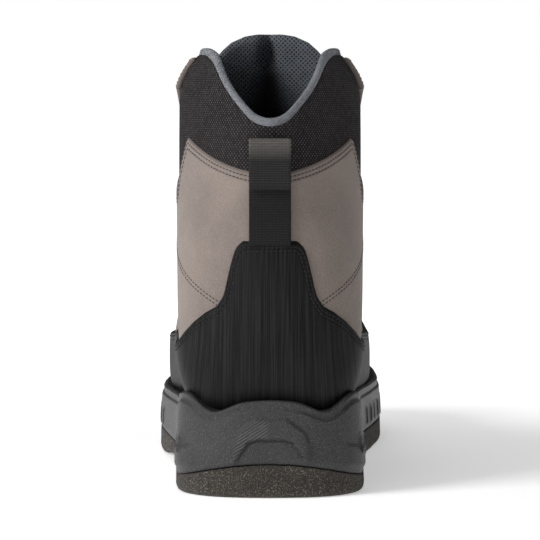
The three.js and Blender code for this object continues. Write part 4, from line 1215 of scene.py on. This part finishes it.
# chevron band on the heel's back, seen from behind: an arch with a flat middle
BAND_MIDDLE, BAND_RISE, BAND_LEDGE = 0.3, 1.25, 0.8
aside = np.abs(wall_x - BAND_MIDDLE)
band_low = np.interp(aside, [0, 6, 10, 14.2, 16], [26.6, 26.6, 25.4, 19.2, 16])
band_high = np.interp(aside, [0, 7, 15, 17.5, 19.5], [35.6, 35.6, 29.6, 24, 20])
in_band = soft_box(wall_z, band_low, band_high, 0.45) * (1 - smooth(16.4, 17.4, aside))
on_back = (outline_y < 20) * np.ones_like(wall_z)
profile -= BAND_RISE * in_band * on_back
rib_mask = in_band * on_back * smooth(0.5, -2.5, wall_x)
under_band = np.exp(-((wall_z - band_low + 0.5) / 0.5) ** 2)
profile += BAND_LEDGE * under_band * on_back * (np.abs(wall_x) < 14.5)

# lugs at the heel's corners and slots along the forefoot
share = outline_share * np.ones_like(wall_z)
HEEL_SLOTS, FRONT_SLOTS, FIRST_SLOT, SLOT_PITCH = [0.135, 0.16], 7, 0.5, 12.5
SLOT_DEPTH, SLOT_RIM, SLOT_HALF, LUG_RISE = 1.1, 0.35, 3.5, 0.7
SIDE_LENGTH = 365.0
slot_shares = HEEL_SLOTS + (FIRST_SLOT + np.arange(FRONT_SLOTS) * SLOT_PITCH / (1.12 * LENGTH)).tolist()
slot_middle = mix(outline_felt, outline_wall - STEP_DROP, 0.42)
for place in slot_shares:
    along = (share - place) * SIDE_LENGTH
    wide = 1.7 if place in HEEL_SLOTS else 2.2
    tall = np.clip(np.abs(wall_z - slot_middle) - (SLOT_HALF - wide), 0, None)
    away = np.hypot(along, tall)
    profile += SLOT_DEPTH * (1 - smooth(wide - 0.5, wide + 0.4, away))
    profile -= SLOT_RIM * np.exp(-((away - wide - 0.9) / 0.5) ** 2)
lug_height = soft_box(wall_z, outline_felt + 3.5, outline_felt + 13, 0.8)
profile -= LUG_RISE * soft_box(share * SIDE_LENGTH, 38, 66, 2.0) * lug_height

SHELF_INSETS, SHELF_DROPS, FOOT_INSET = np.array([[3.6], [7.5]]), np.array([[0.25], [1.6]]), 6.0
inner_insets = SHELF_INSETS + outline_wall * 0
inner_heights = outline_wall - SHELF_DROPS
foot_insets = np.full((1, len(outline_x)), FOOT_INSET)
foot_heights = wall_low[None]
midsole = ring_piece("midsole_cup", np.concatenate([foot_insets, profile, inner_insets]),
                     np.concatenate([foot_heights, wall_z, inner_heights]), rubber)
carry(midsole, "ribs", np.concatenate([foot_insets * 0, rib_mask, inner_insets * 0]))
finish_piece(midsole, "moulded_rubber", "midsole_rubber")

# %% [markdown]
# The collar lining is a padded knit rolled over the collar's edge. It is a strip along the
# edge with a rounded section: from outside, over the top, and 34 mm down inside.

# %% Collar lining
def collar_height(turn, lift, out):
    """The collar's height plus a lift, at a turn of the form."""
    z = np.full(np.shape(turn), COLLAR_BACK)
    for _ in range(12):
        p = form_point(rows_at_height(turn, z, out), turn, out)
        z = np.interp(p[..., 1], *COLLAR_LINE) + lift
    return z


lining_turns = np.linspace(0.155, 0.845, 300)
edge_z = collar_height(lining_turns, 0.0, -1.5)
lining_outs = [-0.6, -0.35, -0.7, -1.6, -2.8, -4.0, -5.0, -5.5, -5.6, -5.6, -5.6, -5.3, -4.6, -3.4]
lining_lifts = [0.2, 1.4, 2.5, 3.1, 3.2, 2.8, 1.8, 0.2, -3, -10, -20, -29, -32, -33]
rings = []
for out, lift in zip(lining_outs, lining_lifts):
    ring_z = edge_z + lift
    rings.append(form_point(rows_at_height(lining_turns, ring_z, out), lining_turns, out))
lining_points = np.stack(rings)
along = run_along(lining_points[0])
deep = run_along(lining_points[:, 150])
count_r, count_c = lining_points.shape[:2]
ids = np.arange(count_r * count_c).reshape(count_r, count_c)
quads = [tuple(q) for q in quads_of(ids)]
quads += [(ids[-1, k], ids[-1, k + 1], ids[0, k + 1], ids[0, k]) for k in range(count_c - 1)]
quads += [tuple(ids[:, 0]), tuple(ids[::-1, -1])]
lining_uv = np.stack(np.broadcast_arrays(along[None], deep[:, None]), -1).reshape(-1, 2)
lining = as_object("collar_lining_roll", lining_points.reshape(-1, 3), quads, lining_knit, lining_uv)
finish_piece(lining, "knit_lining", "collar_lining")
print("lining", len(quads), "faces")

# %% [markdown]
# The tongue is a padded panel under the throat, taller than the collar. Its inner face is
# grey spacer mesh with a deep fold down the middle, darkened there with painted shade;
# its front is nubuck-coloured.

# %% Tongue
def front_point(x, z, out):
    """The point of the form's front that has a given x and height."""
    x, z = np.broadcast_arrays(np.asarray(x, float), np.asarray(z, float))
    low, high = np.full(x.shape, 2.2), np.full(x.shape, 12.0)

    def place(at):
        centre_half = form_point(at, 0.25, out)[..., 0], form_point(at, 0.75, out)[..., 0]
        centre, half = (centre_half[0] + centre_half[1]) / 2, (centre_half[0] - centre_half[1]) / 2
        q = np.clip(np.abs(x - centre) / np.maximum(half, 1e-6), 0, 1)
        power = curve(FORM["high"], at)
        reach = (1 - q**power) ** (1 / power)
        top, side = form_point(at, 0.0, out), form_point(at, 0.25, out)
        return side + (top - side) * reach[..., None]

    for _ in range(34):
        middle = (low + high) / 2
        under_z = place(middle)[..., 2] < z
        low, high = np.where(under_z, middle, low), np.where(under_z, high, middle)
    found = place((low + high) / 2)
    found[..., 0] = x
    found[..., 2] = z
    return found


TONGUE_LOW, TONGUE_HALF, TONGUE_BEHIND = 92.0, 34.0, 5.2
PLUMP, PLUMP_REACH = 2.5, 4.0
tongue_u = np.sin(np.linspace(-1, 1, 61) * math.pi / 2)
tongue_v = 1 - (1 - np.linspace(0, 1, 70)) ** 1.3
tongue_top = np.interp(np.abs(tongue_u) * TONGUE_HALF, [0, 6, 12, 18.6, 23, 27, 30, 32.5, 34],
                       [208, 208, 207, 204, 200, 195, 191.5, 188, 184])
tongue_z = TONGUE_LOW + (tongue_top - TONGUE_LOW)[None] * tongue_v[:, None]
high_up = smooth(188, 198, tongue_z)
tongue_width = np.minimum(TONGUE_HALF, throat_half(tongue_z) + 5)
tongue_x = tongue_u[None] * tongue_width
near_rim = np.minimum(tongue_width * (1 - np.abs(tongue_u[None])), (tongue_top[None] - tongue_z) * 0.9)
plump = PLUMP * (1 - np.clip(1 - near_rim / PLUMP_REACH, 0, 1) ** 2) ** 0.5
fold_width = mix(17.0, 3.0, smooth(150, 207, tongue_z))
fold_shape = np.exp(-(tongue_x / fold_width) ** 2) * smooth(100, 140, tongue_z)
fold = mix(3.6, 7.0, high_up) * fold_shape
face_front = front_point(tongue_x, tongue_z, 0.0)
front = face_front.copy()
front[..., 1] += -TONGUE_BEHIND + plump + mix(0.3, 0.85, high_up) * fold
back = face_front.copy()
back[..., 1] += -TONGUE_BEHIND - plump * 1.1 + fold
rows_t, cols_t = tongue_x.shape
ids = np.arange(rows_t * cols_t).reshape(rows_t, cols_t)
quads = quads_of(ids)
total = rows_t * cols_t
ring = np.concatenate([ids[0], ids[1:, -1], ids[-1, -2::-1], ids[-2:0:-1, 0]])
tongue_faces = quads[:, ::-1].tolist() + (quads + total).tolist()
tongue_faces += [(a, b, b + total, a + total) for a, b in zip(ring, np.roll(ring, -1))]
tongue_uv = np.concatenate([np.stack([tongue_x.ravel(), tongue_z.ravel()], -1)] * 2)
tongue = as_object("tongue_pad", np.concatenate([front.reshape(-1, 3), back.reshape(-1, 3)]), tongue_faces,
                   nubuck, tongue_uv, np.full(2 * total, 9.0))
tongue.data.materials.append(tongue_mesh)
# painted shade for the tongue's fold, carried as "fold" and read by the spacer mesh material
shade = np.clip(fold_shape * 1.15 - 0.1, 0, 1) * smooth(207, 186, tongue_z)
carry(tongue, "fold", np.tile(shade.reshape(-1), 2))
index = [0 if min(p.vertices) < total and max(p.vertices) < total else 1 for p in tongue.data.polygons]
tongue.data.polygons.foreach_set("material_index", index)
finish_piece(tongue, "spacer_mesh", "tongue")
print("tongue", len(tongue_faces), "faces")

# %% [markdown]
# The pull loop is one strip of webbing. It runs up the back from the counter, folds over at
# the top and comes down outside as a finger loop, where it is sewn on itself.

# %% Pull loop
def back_line(z, out):
    """How far back the form lies at a height, on its middle line."""
    row = rows_at_height(np.full(np.shape(z), 0.5), np.asarray(z, float), out)
    return form_point(row, 0.5, out)[..., 1]


REST = PANEL + GAP + 0.25
LOOP_FOOT, LOOP_SEAM, LOOP_TOP, PLY = 112.5, 138.0, 160.6, 1.4
rise_z = np.linspace(LOOP_FOOT, LOOP_TOP - 3.0, 40)
inner_run = np.stack([back_line(rise_z, REST) - PLY / 2 - 0.1, rise_z], -1)
bow_z = np.linspace(LOOP_TOP - 3.0, LOOP_SEAM + 0.2, 36)
bow = 5.6 * np.sin(math.pi * np.clip((bow_z - LOOP_SEAM) / (LOOP_TOP - LOOP_SEAM), 0, 1) ** 0.8) ** 0.6
outer_run = np.stack([back_line(bow_z, REST) - 1.55 * PLY - bow, bow_z], -1)
top_span = (inner_run[-1] + outer_run[0]) / 2
radius_y = (inner_run[-1, 0] - outer_run[0, 0]) / 2
angles = np.linspace(0, math.pi, 16)[1:-1]
fold_run = np.stack([top_span[0] + radius_y * np.cos(angles), LOOP_TOP - 3.0 + 2.3 * np.sin(angles)], -1)
loop_path = np.concatenate([inner_run, fold_run, outer_run])
way = np.gradient(loop_path, axis=0)
way /= np.linalg.norm(way, axis=1)[:, None]
side_way = np.stack([-way[:, 1], way[:, 0]], -1)
run = run_along(loop_path)
HALF_WEB = 9.4
corner = 0.5
inner_x = np.linspace(-HALF_WEB + 1.5, HALF_WEB - 1.5, 13)
section_x = [-HALF_WEB, -HALF_WEB + corner, *inner_x, HALF_WEB - corner, HALF_WEB]
section = [(x, PLY / 2 * (0.45 if abs(x) > HALF_WEB - 0.1 else 1)) for x in section_x]
section += [(x, -t) for x, t in section[::-1]]
loop_vertices, loop_uv = [], []
for k, (py, pz) in enumerate(loop_path):
    for x, t in section:
        loop_vertices.append((x, py + side_way[k, 0] * t, pz + side_way[k, 1] * t))
        loop_uv.append((x, run[k]))
size = len(section)
loop_faces = []
for k in range(len(loop_path) - 1):
    for i in range(size):
        j = (i + 1) % size
        loop_faces.append((k * size + i, k * size + j, (k + 1) * size + j, (k + 1) * size + i))
loop_faces += [tuple(range(size))[::-1], tuple(range((len(loop_path) - 1) * size, len(loop_path) * size))]
pull_loop = as_object("pull_loop_webbing", np.array(loop_vertices), loop_faces, webbing, np.array(loop_uv))
finish_piece(pull_loop, "webbing", "pull_loop")
loop_rows = []
outward_way = side_way * (PLY / 2)
strip = loop_path[:, 1] < LOOP_SEAM
strip[40:] = False
for x in (-7.9, -6.6, 6.6, 7.9):
    face = loop_path[strip] - outward_way[strip]
    loop_rows.append(np.stack([np.full(len(face), x), face[:, 0], face[:, 1]], -1))
for lift in (1.6, 3.4):
    seam_y, seam_z = np.interp(LOOP_SEAM + lift, outer_run[::-1, 1], outer_run[::-1, 0]), LOOP_SEAM + lift
    xs = np.linspace(-8, 8, 17)
    loop_rows.append(np.stack([xs, np.full(17, seam_y - PLY / 2), np.full(17, seam_z)], -1))
stitches("loop_stitches", loop_rows, black_thread, "webbing", thread=0.45)
print("loop", len(loop_faces), "faces")

# %% [markdown]
# The lace hardware is bent metal strip. The solids' own shapes are right, so a copy of each
# is welded and its edges are rounded with a bevel. The lace is copied the same way, without
# a bevel, and shaded smoothly.

# %% Hooks and loops
def copy_of_nodes(name, nodes, material, bevel):
    """One welded copy of some solids, leaning with the collar, its edges rounded by bevel."""
    joined = bmesh.new()
    for node in nodes:
        joined.from_mesh(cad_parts[node].data)
    bmesh.ops.remove_doubles(joined, verts=joined.verts, dist=1e-6)
    if bevel:
        bmesh.ops.dissolve_limit(joined, angle_limit=math.radians(1), verts=joined.verts, edges=joined.edges)
        bmesh.ops.bevel(joined, geom=[e for e in joined.edges if e.calc_face_angle(0) > 0.5], offset=bevel,
                        segments=2, affect="EDGES", clamp_overlap=True)
    mesh = bpy.data.meshes.new(name)
    for vertex in joined.verts:
        vertex.co.x = leaned(np.array(vertex.co) * 1000 + [0, HEEL_CENTRE, 0])[0] / 1000
    joined.to_mesh(mesh)
    joined.free()
    mesh.materials.clear()
    mesh.materials.append(material)
    mesh.polygons.foreach_set("use_smooth", [True] * len(mesh.polygons))
    return put_in_scene(name, mesh)


for side in ("lateral", "medial"):
    nodes = [f"lace_{kind}_{k}_{side}" for kind in ("loop", "hook") for k in (1, 2, 3)]
    hardware = copy_of_nodes(f"lace_hardware_{side}", nodes, dark_metal, 0.0002)
    finish_piece(hardware, "dark_metal", *nodes)
    print(hardware.name, len(hardware.data.polygons), "faces")

cord = finish_piece(copy_of_nodes("lace_run", ["lace"], lace_cord, 0), "lace_cord", "lace")
print(cord.name, len(cord.data.polygons), "faces")

# %% [markdown]
# The insole lies inside, where only its colour and grain are seen, so it keeps its own shape.

# %% The insole's finish
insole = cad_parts["insole"]
insole.data.materials.clear()
insole.data.materials.append(footbed)
